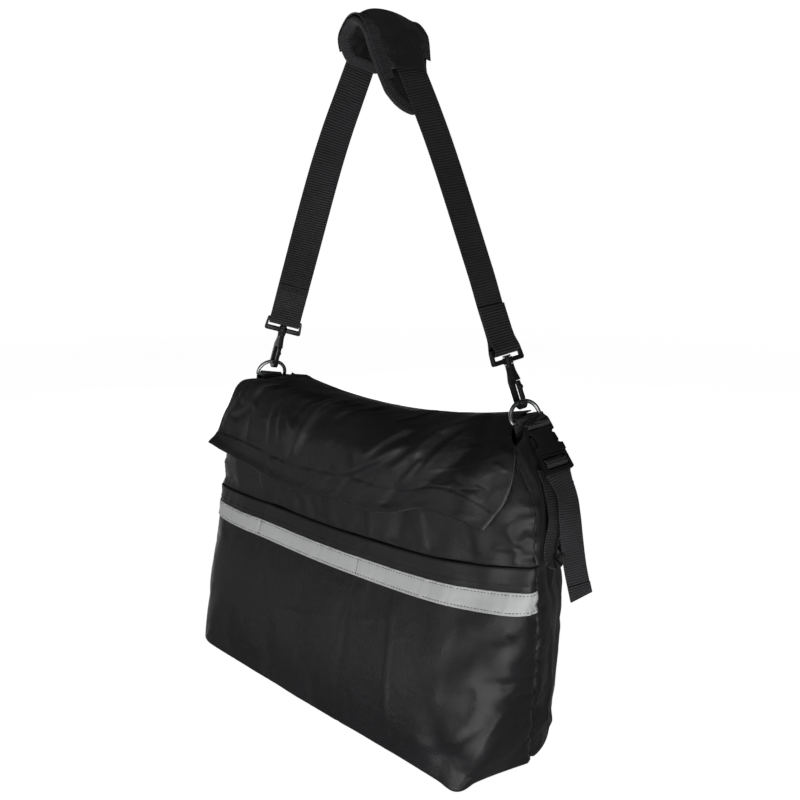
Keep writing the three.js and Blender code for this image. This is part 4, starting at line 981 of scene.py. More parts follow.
def front_grid(columns, heights, lift, folds, seed, rumple):
    """Front cloth with its folds, rumpled towards its right end and drawn into the seams at both sides."""
    s, tall = columns[None, :], heights[:, None]
    corner = ramp(np.abs(s), CORNER_START, CORNER_SPAN) * ramp(tall, CORNER_LOW, FRONT_TOP - CORNER_LOW)
    z = sagged(s, tall) + CORNER_RISE * corner
    grid = front_cloth(s, z)
    x = grid[..., 0]
    near = margin(lengths(grid, 1))
    gather = 0.9 * pucker(z, near, seed, pitch=8, reach=6)
    gather = gather + 0.7 * pucker(z, near, seed + 1, pitch=20, reach=14)
    rumples = rumple * ripple(x, z, seed + 5, scale=58) * ramp(x, RUMPLE_START, RUMPLE_SPAN)
    soft = 0.3 * ripple(x, z, seed + 2, scale=90) + rumples + folds_at(x, z, folds)
    stand_out = ear(s, z)
    shift = lift + seam_line(near, z, seed + 4) + gather + soft * smooth(near / FRONT_HOLD) + stand_out
    grid = pushed(grid, shift)
    grid[..., 2] -= EAR_DROP * stand_out
    return grid


def settled_pocket(settings):
    """Grid, normals, rows and columns of the pocket's cloth, for the pieces sewn on it."""
    columns, rows = np.linspace(-0.995, 0.995, 172), np.linspace(0.5, HEM_TOP, 92)
    grid = front_grid(columns, rows, lift=CLEAR + CLOTH, folds=FRONT_FOLDS, seed=11, rumple=1.0)
    held = holding(grid, free=0.04, low=1, high=0.5, sides=1)
    held[(rows > TAPE_LOW - 1) & (rows < TAPE_TOP + 1)] = 0.5
    held[rows > HEM_TOP - HEM_HEIGHT] = 0.5
    grid = settle(grid, held, slack=settings.slack * 0.4, press=0.8, steps=20, reach=2.2)
    run, x = lengths(grid, 1), grid[..., 0]
    from_top = HEM_TOP - rows[:, None]
    line = from_top - HEM_HEIGHT + HEM_STITCH
    stitched = -0.6 * bell(line, 1.3) + 0.25 * pucker(run, line, 31, pitch=9, reach=5)
    gape = np.maximum(0.7 + 0.8 * ripple(run, run * 0, 35, scale=90, modes=10), 0.3)
    mouth = gape * np.exp(-from_top / GAPE_DOWN) * smooth(margin(run) / GAPE_SIDE)
    for divider in DIVIDERS:
        mouth = mouth * (1 - 0.7 * bell(x - divider, GAPE_DIVIDER))
    sewn_down = -0.5 * bell(x - DIVIDERS[1], 1.8) * smooth((TAPE_LOW - rows[:, None]) / 4)
    grid = pushed(grid, HEM_LIFT * hem_step(HEM_HEIGHT - from_top) + stitched + mouth + sewn_down)
    return SimpleNamespace(grid=grid, normals=facing(grid), rows=rows, columns=columns)


def on_cloth(cloth, row, column, lift):
    """Points and normals a little above a settled cloth."""
    line = blended(cloth.grid, cloth.rows, cloth.columns, row, column)
    normal = unit(blended(cloth.normals, cloth.rows, cloth.columns, row, column))
    return line + normal * lift, normal


# Folds of both sides, by the run from the front seam and z
GUSSET_FOLDS = [
    ([(20, 300), (34, 236), (42, 170)], -4.5, 9, "steep_left"),
    ([(10, 318), (16, 270), (12, 226)], 2.6, 5, "soft"),
    ([(58, 300), (62, 240), (52, 180)], 3.0, 10, "soft"),
    ([(84, 210), (70, 120), (60, 60)], -3.0, 14, "soft"),
    ([(30, 150), (40, 80), (22, 20)], 2.6, 10, "steep_right"),
    ([(8, 60), (40, 22), (70, 8)], 3.4, 9, "soft"),
    ([(20, 34), (58, 6)], -3.4, 6, "soft"),
]


def gusset_grid(side, seed, settings):
    """Side of the bag, folded inwards and drawn into its two seams."""
    g, t = np.linspace(0, 1, 46), np.linspace(0, 1, 104)
    top = FRONT_TOP + (BACK_TOP - FRONT_TOP) * smooth(g / SIDE_MIDDLE)
    top = top + CORNER_RISE * smooth((SIDE_MIDDLE - g) / SIDE_CORNER)
    top = top + BACK_RISE * ramp(g, BACK_START, BACK_SPAN)
    z = t[:, None] * top[None, :]
    grid = side_cloth(side, np.broadcast_to(g, z.shape), z)
    run = lengths(grid, 1)
    near = margin(run)
    gather = 0.7 * pucker(z, near, seed, pitch=9, reach=7)
    gather = gather + 0.6 * pucker(z, near, seed + 1, pitch=22, reach=16)
    soft = 0.7 * ripple(run, z, seed + 2, scale=70) + folds_at(run, z, GUSSET_FOLDS)
    hold = smooth(near / SIDE_HOLD) * ramp(z, -FLOOR_THICK, FLOOR_HOLD)
    lift = seam_line(near, z, seed + 4) + gather * smooth(z / SIDE_HOLD) + soft * hold
    grid = pushed(grid, side * lift)
    held = holding(grid, free=0.02, low=1, high=0.6, sides=1)
    return settle(grid[:, ::side], held, slack=settings.slack, press=0.4, steps=18, reach=3.0)


def bottom_piece():
    """Floor with a sag in its middle, which stands out with the front's bottom corner."""
    s, g, b = np.linspace(-1, 1, 120), np.linspace(0, 1, 40)[1:], np.linspace(1, -1, 90)[1:]
    zero = np.zeros(1)
    outline = np.concatenate([
        front_cloth(s, zero), side_cloth(1, g, zero + 0 * g), back_cloth(b, zero + 0 * b),
        side_cloth(-1, g[::-1], zero + 0 * g)[:-1]])[:, :2]
    row = LEVELS[0]
    middle = np.array([row[1], (row[3] + row[7]) / 2])
    inward = unit(middle - outline)
    outline = outline + inward * (CLOTH + FLOOR_GAP)
    outline[:len(s)] -= inward[:len(s)] * ear(s, zero)[:, None]
    shares = np.concatenate([[1, 0.992, 0.98], np.linspace(0.96, 0.06, 26)])
    rings = middle + (outline - middle)[None] * shares[:, None, None]
    x, y = rings[..., 0], rings[..., 1]
    drop = -FLOOR_SAG * (1 - shares[:, None] ** 2)
    drop = drop + 0.9 * ripple(x, y, 61, scale=70) * smooth((1 - shares[:, None]) * 6)
    top, low = rolled(x, y, drop + FLOOR_THICK), rolled(x, y, drop)
    count, around = x.shape
    centre = rolled(middle[0], middle[1], np.array(-FLOOR_SAG))
    centres = [centre + (0, 0, FLOOR_THICK), centre]
    points = np.concatenate([top.reshape(-1, 3), low.reshape(-1, 3), centres])
    size = count * around
    last = size - around
    faces = grid_faces(count, around, 0, True).tolist() + grid_faces(count, around, size, True).tolist()
    for i in range(around):
        j = (i + 1) % around
        faces.append((i, j, size + j, size + i))
        faces.append((last + i, last + j, 2 * size))
        faces.append((size + last + i, size + last + j, 2 * size + 1))
    return make_piece("bottom_panel_cloth", points, faces, "black_nylon", points[:, :2])


# Folds of the back, by the run from its right seam and z
BACK_FOLDS = [
    ([(40, 318), (112, 236), (168, 150)], 2.6, 13, "soft"),
    ([(408, 318), (336, 226), (296, 140)], 2.4, 13, "soft"),
    ([(58, 326), (88, 230), (80, 118)], 1.8, 8, "steep_right"),
    ([(396, 322), (366, 216), (378, 108)], 2.0, 8, "steep_left"),
    ([(150, 300), (224, 286), (304, 300)], -2.2, 14, "soft"),
    ([(112, 62), (214, 42), (334, 58)], 2.0, 14, "soft"),
    ([(226, 214), (233, 112)], 1.0, 4, "pressed"),
    ([(18, 64), (70, 32), (124, 16)], 2.0, 8, "soft"),
    ([(432, 58), (384, 30), (328, 14)], 2.2, 8, "soft"),
    ([(170, 262), (202, 176), (196, 92)], 1.4, 9, "steep_left"),
]


def back_grid():
    b, t = np.linspace(1, -1, 120), np.linspace(0, 1, 90)
    x = b * LEVELS[-1][6]
    left, right = FLAP_ROWS[0][1], FLAP_ROWS[0][4]
    top = flap_base((x - left) / (right - left), 0)[:, 2] - CLOTH - FLAP_SEAT
    top[[0, -1]] = BACK_TOP
    z = t[:, None] * top[None, :]
    grid = back_cloth(np.broadcast_to(b, z.shape), z)
    run = lengths(grid, 1)
    near = margin(run)
    hold = smooth(near / SIDE_HOLD) * smooth(z / FLOOR_HOLD) * smooth((top[None, :] - z) / FLOOR_HOLD)
    lift = -SEAM_GROOVE * bell(near, 3) + 0.5 * pucker(z, near, 71, pitch=10, reach=9)
    soft = 0.5 * ripple(run, z, 73, scale=120) + folds_at(run, z, BACK_FOLDS)
    return pushed(grid, lift + soft * hold)


class BackBagSettings(bpy.types.PropertyGroup):
    """Colours and sizes that a user would change."""
    cloth_colour: FloatVectorProperty(
        name="Cloth", description="Black coated nylon of the bag", subtype="COLOR", min=0, max=1,
        default=(0.016, 0.016, 0.018))
    webbing_colour: FloatVectorProperty(
        name="Webbing", description="Strap, tabs and buckle webbing", subtype="COLOR", min=0, max=1,
        default=(0.013, 0.013, 0.014))
    plastic_colour: FloatVectorProperty(
        name="Plastic", description="Hooks, loops and buckles", subtype="COLOR", min=0, max=1,
        default=(0.012, 0.012, 0.013))
    wire_colour: FloatVectorProperty(
        name="Ring wire", description="Plated wire of the D-rings", subtype="COLOR", min=0, max=1,
        default=(0.36, 0.37, 0.38))
    # The tape's own light grey, raised towards white as painted reflection standing in for its
    # retroreflective glare
    tape_and_reflection_colour: FloatVectorProperty(
        name="Tape", description="Reflective tape across the pocket", subtype="COLOR", min=0, max=1,
        default=(0.8, 0.805, 0.81))
    slack: FloatProperty(
        name="Cloth slack", description="Spare length of the cloth between its seams",
        default=0.009, min=0, max=0.06, subtype="FACTOR")
    strap_rib: FloatProperty(
        name="Strap rib", description="Distance between the shoulder strap's ribs",
        default=0.0029, min=0.001, max=0.006, unit="LENGTH")
    buckle_rib: FloatProperty(
        name="Buckle rib", description="Distance between the ribs of the buckle webbing",
        default=0.0026, min=0.001, max=0.006, unit="LENGTH")
    edge_round: FloatProperty(
        name="Edge round", description="Rounding of the moulded edges",
        default=0.0008, min=0.0002, max=0.002, unit="LENGTH")


class StageSettings(bpy.types.PropertyGroup):
    """Camera, floor and lights."""
    lens: FloatProperty(
        name="Lens", description="Focal length on a 36 mm sensor",
        default=36.0, min=10, max=200, unit="CAMERA")
    camera_place: FloatVectorProperty(
        name="Camera place", description="Where the camera stands",
        default=(0.5419, -0.7412, -0.184783), subtype="TRANSLATION", unit="LENGTH")
    azimuth: FloatProperty(
        name="Azimuth", description="Turn of the camera round the bag",
        default=math.radians(35), subtype="ANGLE", unit="ROTATION")
    elevation: FloatProperty(
        name="Elevation", description="Tilt of the camera over the bag",
        default=math.radians(13.5), subtype="ANGLE", unit="ROTATION")
    floor_gap: FloatProperty(
        name="Floor gap", description="Height of the hanging bag over the floor",
        default=0.05, min=0, max=1, unit="LENGTH")
    light_distance: FloatProperty(
        name="Light distance", description="How far the lights stand from the bag",
        default=1.9, min=0.5, max=10, unit="LENGTH")
    light_scale: FloatProperty(
        name="Light scale", description="Share of the lights' power",
        default=1.0, min=0, max=10, subtype="FACTOR")
    ambient: FloatProperty(
        name="Ambient", description="Strength of the even light all round", default=0.035, min=0, max=2)


class BACKBAG_OT_walls(bpy.types.Operator):
    """Make the front, side, back and bottom cloth of the bag"""
    bl_idname = "back_bag.walls"
    bl_label = "Bag walls"

    def execute(self, context):
        settings = context.scene.back_bag
        columns, rows = np.linspace(-0.995, 0.995, 172), np.linspace(0, FRONT_TOP, 124)
        behind = -POCKET_SINK * smooth((HEM_TOP + 6 - rows[:, None]) / 10)
        grid = front_grid(columns, rows, lift=behind, folds=UPPER_FOLDS, seed=11, rumple=0.9)
        held = holding(grid, free=0.03, low=1, high=1, sides=1)
        held[rows < HEM_TOP + 2] = 1
        grid = settle(grid, held, slack=settings.slack * 0.8, press=0.8, steps=20, reach=3.0)
        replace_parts(cloth_piece("front_panel_cloth", grid, CLOTH, "black_nylon"), "front_panel")
        for name, side, seed in (("right", 1, 41), ("left", -1, 51)):
            grid = gusset_grid(side, seed, settings)
            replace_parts(cloth_piece(f"{name}_gusset_cloth", grid, CLOTH, "black_nylon"), f"{name}_gusset")
        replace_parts(cloth_piece("back_panel_cloth", back_grid(), CLOTH, "black_nylon"), "back_panel")
        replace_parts(bottom_piece(), "bottom_panel")
        return {"FINISHED"}


class BACKBAG_OT_pocket(bpy.types.Operator):
    """Make the front pocket, its hem and the reflective tape sewn on it"""
    bl_idname = "back_bag.pocket"
    bl_label = "Front pocket and tape"

    def execute(self, context):
        pocket = settled_pocket(context.scene.back_bag)
        thick = CLOTH + HEM_EXTRA * hem_step(pocket.rows - HEM_TOP + HEM_HEIGHT)[:, None]
        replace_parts(cloth_piece("front_pocket_cloth", pocket.grid, thick, "black_nylon"), "front_pocket")
        self.tape(pocket)
        self.stitching(pocket)
        return {"FINISHED"}

    def tape(self, pocket):
        """Reflective tape, drawn in where it is sewn near its edges and at the dividers."""
        columns = np.linspace(-0.985, 0.985, 240)
        rows = np.concatenate([[TAPE_LOW, TAPE_LOW + 0.5], np.linspace(TAPE_LOW + 1.5, TAPE_TOP - 1.5, 10),
                               [TAPE_TOP - 0.5, TAPE_TOP]])
        band, normal = on_cloth(pocket, rows[:, None], columns[None, :], 0.0)
        from_seam = np.minimum(rows - TAPE_LOW, TAPE_TOP - rows)[:, None] - TAPE_SEAM
        quilt = 0.3 * pucker(lengths(band, 1), from_seam, 81, pitch=8, reach=4) - 0.45 * bell(from_seam, 1.1)
        for divider in DIVIDERS:
            quilt = quilt - 0.7 * bell(band[..., 0] - divider, 1.3)
        band = band + normal * (TAPE_THICK + 0.35 + np.maximum(quilt, -0.6))[..., None]
        tape = cloth_piece("reflective_tape_band", band, TAPE_THICK, "reflective_tape")
        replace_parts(tape, "reflective_tape")

    def stitching(self, pocket):
        fine = np.linspace(-0.98, 0.98, 700)

        def level_line(row, lift):
            return on_cloth(pocket, np.full_like(fine, row), fine, lift)

        def upright(divider, beside, tall, lift):
            """Line up a divider, whose place across the cloth is read in one of its rows."""
            share = np.interp(divider, pocket.grid[beside, :, 0], pocket.columns)
            return on_cloth(pocket, tall, np.full_like(tall, share), lift)

        edges = [level_line(row, TAPE_THICK + 0.15) for row in (TAPE_LOW + TAPE_SEAM, TAPE_TOP - TAPE_SEAM)]
        stitches("tape_stitches", edges, "tape_thread", pitch=3.8, length=2.5, radius=0.34)
        seams = [level_line(HEM_TOP - HEM_HEIGHT + HEM_STITCH, 0.1)]
        for divider in DIVIDERS:
            seams.append(upright(divider, 60, np.linspace(TAPE_LOW + 1, TAPE_TOP - 1, 40), TAPE_THICK))
            seams.append(upright(divider, 60, np.linspace(TAPE_TOP + 1, HEM_TOP - 1, 40), 0.1))
        stitches("pocket_stitches", seams, pitch=3.4, length=2.4, radius=0.34)
        below = upright(DIVIDERS[1], 30, np.linspace(6, TAPE_LOW - 1, 120), 0.0)
        stitches("divider_stitches", [below], pitch=3.6, length=1.7, radius=0.24)


# Flap

# Size that the fold table's shares are scaled by, width of the side hem, place of its seam, thickness of
# the hems and how far the front edge stands off
FLAP_WIDE, FLAP_LONG = 400.0, 230.0
FLAP_SIDE_HEM, FLAP_SIDE_SEAM, FLAP_PROUD, FLAP_FLARE = 10.2, 9.5, 0.9, 2.0
# Share by the back seam that stays flat, and where the front edge starts to stand off
FLAP_FLAT, FLARE_START, FLARE_SPAN = 0.12, 0.92, 0.08
# Distance that stands for far from any seam
FAR_OFF = 99.0
# Line of the flap's hem, by shares of its breadth and length
FLAP_HEM = np.array([[0, 0.86], [0.14, 0.838], [0.27, 0.85], [0.5, 0.842], [0.6, 0.845], [0.72, 0.85],
                     [0.875, 0.845], [1, 0.9]], float)
# Folds of the flap, by shares of its breadth and length
FLAP_FOLDS = [
    ([(0.2, 0.4), (0.2, 0.5), (0.215, 0.65), (0.225, 0.75), (0.25, 0.85)], 1.8, 3.6, "pressed"),
    ([(0.225, 0.3), (0.235, 0.5), (0.255, 0.66), (0.27, 0.79)], 2.0, 3.6, "pressed"),
    ([(0.36, 0.22), (0.37, 0.39), (0.355, 0.56), (0.345, 0.7), (0.31, 0.86)], 5.5, 12, "steep_right"),
    ([(0.41, 0.2), (0.39, 0.38), (0.378, 0.52)], 2.4, 5, "steep_left"),
    ([(0.31, 0.3), (0.3, 0.45), (0.3, 0.6)], -3.0, 9, "soft"),
    ([(0.5, 0.18), (0.46, 0.35), (0.425, 0.52)], 2.8, 8, "steep_right"),
    ([(0.56, 0.2), (0.52, 0.36), (0.48, 0.52)], 1.6, 6, "soft"),
    ([(0.67, 0.12), (0.64, 0.3), (0.6, 0.52)], 2.0, 3.4, "pressed"),
    ([(0.7, 0.4), (0.64, 0.55), (0.595, 0.67), (0.55, 0.74)], 4.4, 9, "steep_right"),
    ([(0.71, 0.55), (0.62, 0.71), (0.56, 0.79), (0.5, 0.87)], 4.6, 9, "steep_right"),
    ([(0.74, 0.58), (0.66, 0.76)], 2.0, 5, "soft"),
    ([(0.9, 0.15), (0.84, 0.28), (0.775, 0.42), (0.75, 0.53), (0.725, 0.68)], 6.0, 11, "steep_right"),
    ([(0.885, 0.18), (0.85, 0.34), (0.82, 0.45), (0.79, 0.58), (0.75, 0.76)], 2.2, 3.6, "pressed"),
    ([(0.755, 0.64), (0.705, 0.82)], 2.0, 4, "soft"),
    ([(0.93, 0.2), (0.89, 0.4), (0.85, 0.6), (0.79, 0.8)], -3.6, 13, "soft"),
    ([(0.985, 0.4), (0.93, 0.58), (0.88, 0.78)], 4.5, 17, "soft"),
    ([(0.95, 0.58), (0.985, 0.62)], 1.6, 4, "soft"),
    ([(0.9, 0.8), (0.93, 0.91), (0.95, 0.99)], 2.5, 12, "soft"),
    ([(0.05, 0.26), (0.07, 0.32), (0.105, 0.44), (0.1, 0.55)], -3.2, 6, "steep_left"),
    ([(0.09, 0.28), (0.135, 0.4)], -2.6, 6, "soft"),
    ([(0.115, 0.54), (0.08, 0.62), (0.04, 0.7)], -2.4, 8, "soft"),
    ([(0.03, 0.42), (0.036, 0.52), (0.026, 0.66), (0.02, 0.82)], 2.2, 6, "steep_left"),
    ([(0.07, 0.38), (0.072, 0.5), (0.06, 0.57)], 1.6, 6, "soft"),
    ([(0.12, 0.64), (0.14, 0.87)], 1.2, 2.6, "pressed"),
    ([(0.48, 0.8), (0.455, 0.96)], 1.3, 4, "steep_left"),
    ([(0.53, 0.86), (0.515, 0.98)], 1.1, 4, "soft"),
    ([(0.25, 0.86), (0.262, 0.98)], 1.0, 4, "soft"),
    ([(0.7, 0.84), (0.69, 0.97)], -1.6, 7, "soft"),
]


def flap_grid(settings):
    """Flap draped over the mouth, with its folds and hems, and the share that each point is on a hem."""
    u, v = np.linspace(0, 1, 150), np.linspace(1, 0, 100)
    wide, long = u[None, :] * FLAP_WIDE, v[:, None] * FLAP_LONG
    folds = [(np.array(path) * (FLAP_WIDE, FLAP_LONG), *rest) for path, *rest in FLAP_FOLDS]
    soft = 0.35 * ripple(wide + long, long * 0.6, 91, scale=60)
    soft = soft + 0.3 * crease(wide + long * 0.8, long * 0.5, 93, scale=80)
    lift = (folds_at(wide, long, folds) + soft) * smooth(v[:, None] / FLAP_FLAT)
    grid = pushed(flap_base(u[None, :], v[:, None]), lift)
    # The back seam is fast, and the hemmed front and sides are stiffer than the rest
    held = np.full(grid.shape[:2], 0.03)
    held[-1] = 1
    held[:14] = 0.6
    held[:, :6] = held[:, -5:] = 0.5
    grid = settle(grid, held, slack=settings.slack * 0.5, press=0.5, steps=20, reach=2.4)
    run, up = lengths(grid, 1), lengths(grid, 0)
    on_left = run < run[:, -1:] / 2
    rise = (v[:, None] - curve_through(FLAP_HEM, u)[1][None, :]) * FLAP_LONG
    edge = np.where(on_left, run - FLAP_SIDE_SEAM, FAR_OFF)
    sewn = -0.8 * bell(rise, 1.5) - 0.6 * bell(edge, 1.4)
    gather = 0.2 * pucker(run, rise, 95, pitch=9, reach=5) + 0.3 * pucker(up, edge, 99, pitch=9, reach=5)
    gather = gather + 0.4 * pucker(run, up, 97, pitch=46, reach=12)
    proud = np.maximum(hem_step(rise), hem_step(FLAP_SIDE_HEM - run) * on_left)
    flare = FLAP_FLARE * ramp(v[:, None], FLARE_START, FLARE_SPAN)
    return pushed(grid, FLAP_PROUD * proud + sewn + gather + flare), u, v, proud


class BACKBAG_OT_flap(bpy.types.Operator):
    """Make the flap that closes the bag, with its folds, hems and stitching"""
    bl_idname = "back_bag.flap"
    bl_label = "Flap"

    def execute(self, context):
        grid, u, v, proud = flap_grid(context.scene.back_bag)
        flap = cloth_piece("flap_cloth", grid, CLOTH + FLAP_PROUD * proud, "black_nylon")
        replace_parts(flap, "flap")
        normals = facing(grid)
        cloth = SimpleNamespace(grid=grid[::-1], normals=normals[::-1], rows=v[::-1], columns=u)
        fine, tall = np.linspace(0.02, 0.985, 500), np.linspace(0.34, 0.98, 260)
        hem = on_cloth(cloth, curve_through(FLAP_HEM, fine)[1], fine, 0.1)
        side = on_cloth(cloth, tall, np.full_like(tall, FLAP_SIDE_SEAM / FLAP_WIDE), 0.1)
        sewn = stitches("flap_stitches", [hem, side], pitch=3.4, length=2.4, radius=0.34)
        # A light thread, a painted highlight standing for the light caught by the flap's edge, runs along the
        # front edge and up the right side
        rim = np.concatenate([grid[0] - normals[0] * 1.1, (grid - normals * 0.8)[1:62, -1]])
        bound = thread_piece("flap_edge_thread", rim, 0.75, "edge_thread")
        return {"FINISHED"}


# Strap and pad

def round_bar(radius, angles):
    """Points (through, up) round a bar, at angles in degrees."""
    return [(radius * math.cos(math.radians(a)), radius * math.sin(math.radians(a))) for a in angles]


def sewn_route():
    """Way of the strap round the bar of its loop and back on itself: through and up."""
    wrap = UPPER_BAR_RADIUS * math.sqrt(2) + CLEAR + WEBBING / 2
    side = [(1, SEWN_BACK), (1, 24), (1.6, 12)]
    turn = round_bar(wrap, (180, 225, 270, 315, 360))
    return [(-t, a) for t, a in side] + turn + [(t, a) for t, a in reversed(side)]


def strap_band(step):
    """The whole strap, from where it is sewn round the left loop to where it is sewn round the right one."""
    points, across = [], []

    def sewn_end(end, route):
        place = end_frame(end.side, end.loop_turn, loop_origin(end.side))
        for t, along in route:
            points.append(in_frame(place, 0, t, UPPER_BAR + along))
            across.append(place.across)

    reach = STRAP_HALF - SEWN_BACK - 30
    middle = np.concatenate([
        np.linspace(-reach, PAD_START, 8)[:-1], np.arange(PAD_START, PAD_END + 1, PAD_STEP),
        np.linspace(PAD_END, reach, 7)[1:],
    ])
    spots, wide, _ = strap_frame(middle)
    sewn_end(ENDS[0], sewn_route())
    points.extend(spots)
    across.extend(wide)
    sewn_end(ENDS[1], reversed(sewn_route()))
    return ribbon(points, across, step)


def cross_stitches(place, spots, lift, half):
    """Rows of stitching across a band at (through, along) spots in an end's frame."""
    lines = []
    for t, along in spots:
        row = np.linspace(-half, half, 30)
        line = np.stack([in_frame(place, w, t + lift * np.sign(t), along) for w in row])
        lines.append((line, np.broadcast_to(place.through * np.sign(t), line.shape)))
    return lines


class BACKBAG_OT_strap(bpy.types.Operator):
    """Make the ribbed shoulder strap, sewn back on itself round its loops"""
    bl_idname = "back_bag.strap"
    bl_label = "Shoulder strap"

    def execute(self, context):
        pitch = context.scene.back_bag.strap_rib / MM
        strap = webbing_piece("shoulder_strap_webbing", strap_band(pitch / 5), STRAP_WIDTH, WEBBING, pitch,
                              "strap_webbing")
        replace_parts(strap, "shoulder_strap")
        lines = []
        for end in ENDS:
            place = end_frame(end.side, end.loop_turn, loop_origin(end.side))
            for face in (-1, 1):
                spots = [(face * (1 + WEBBING / 2), UPPER_BAR + a) for a in (10, 13, 42, 45)]
                lines += cross_stitches(place, spots, 0.12, STRAP_WIDTH / 2 - 3)
        stitches("strap_stitches", lines, pitch=3.0, length=2.3, radius=0.36)
        return {"FINISHED"}


# Where along the strap the pad's right side starts to narrow, and how much further on it is narrowest
PINCH_START, PINCH_SPAN = 38.0, 54.0
# How far the pad's skins stop short of its edge, half their gap there, how far its crown stays below its
# thickness, and how full it is across
PAD_INSET, PAD_RIM, PAD_SINK, PAD_FULL = 1.2, 0.4, 0.6, 3.2


def pinched(s, w):
    """Share of the pad's breadth, less at its lower right."""
    return 1 - PAD_PINCH * ramp(s, PINCH_START, PINCH_SPAN) * (w > 0)


def pad_half(s):
    """Half the pad's breadth at a length from the strap's top, less at its rounded ends."""
    end = np.minimum(s - PAD_START, PAD_END - s)
    short = np.maximum(1 - end / PAD_ROUND, 0)
    return PAD_WIDTH / 2 * np.sqrt(np.maximum(1 - PAD_POINT * short * short, 0.02))


# Folds of the pad's lining, by the length from the strap's top and the place across
LINING_FOLDS = [
    ([(-52, -24), (-30, -14), (-8, -10)], 1.6, 4, "steep_left"),
    ([(-54, -12), (-28, -4), (0, 2)], 1.4, 4, "soft"),
    ([(-54, 4), (-30, 8), (-6, 16)], 1.6, 4, "steep_right"),
    ([(-50, 20), (-24, 22)], 1.2, 4, "soft"),
]


def pad_grid():
    """Upper and lower skins of the pad, crowned between its bound edges."""
    s, w = np.linspace(PAD_START, PAD_END, 92), np.linspace(-1, 1, 40)
    point, wide, out = strap_frame(s)
    half = pad_half(s)[:, None] - PAD_INSET
    across = half * w[None, :] * pinched(s[:, None], w[None, :])
    top = -WEBBING / 2 - PAD_CLEAR
    middle = top - PAD_THICK / 2
    ends = smooth(np.minimum(s - PAD_START, PAD_END - s) / 14)[:, None]
    crown = (1 - np.abs(w) ** PAD_FULL)[None, :] * (PAD_THICK / 2 - PAD_SINK) * ends
    run = s[:, None] + 0 * w[None, :]
    gather = 0.25 * pucker(run, half * (1 - np.abs(w)), 101, pitch=11, reach=9)
    upper = np.minimum(middle + PAD_RIM + crown + 0.2 * gather, top)
    lining = folds_at(run, across, LINING_FOLDS)
    under = middle - PAD_RIM - crown + gather + 0.25 * ripple(run, across, 103, scale=40) - lining

    def skin(lift):
        return point[:, None] + wide[:, None] * across[..., None] + out[:, None] * lift[..., None]

    return skin(upper), skin(under)


# Section of the tape bound round the pad's edge, as places outward and up, and the pitch of its ribs
BINDING_BEND = [(2.5 * c - 1.0, 2.6 * s) for c, s in round_bar(1, (100, 60, 20, -20, -60, -100))]
BINDING_SECTION = [
    (-11, 3.7), (-6, 3.4), *BINDING_BEND, (-6, -3.4), (-11, -3.7),
    (-11, -2.9), (-1.2, -1.5), (-1.2, 1.5), (-11, 2.9),
]
BINDING_STEP, BINDING_RIB = 0.7, 2.08


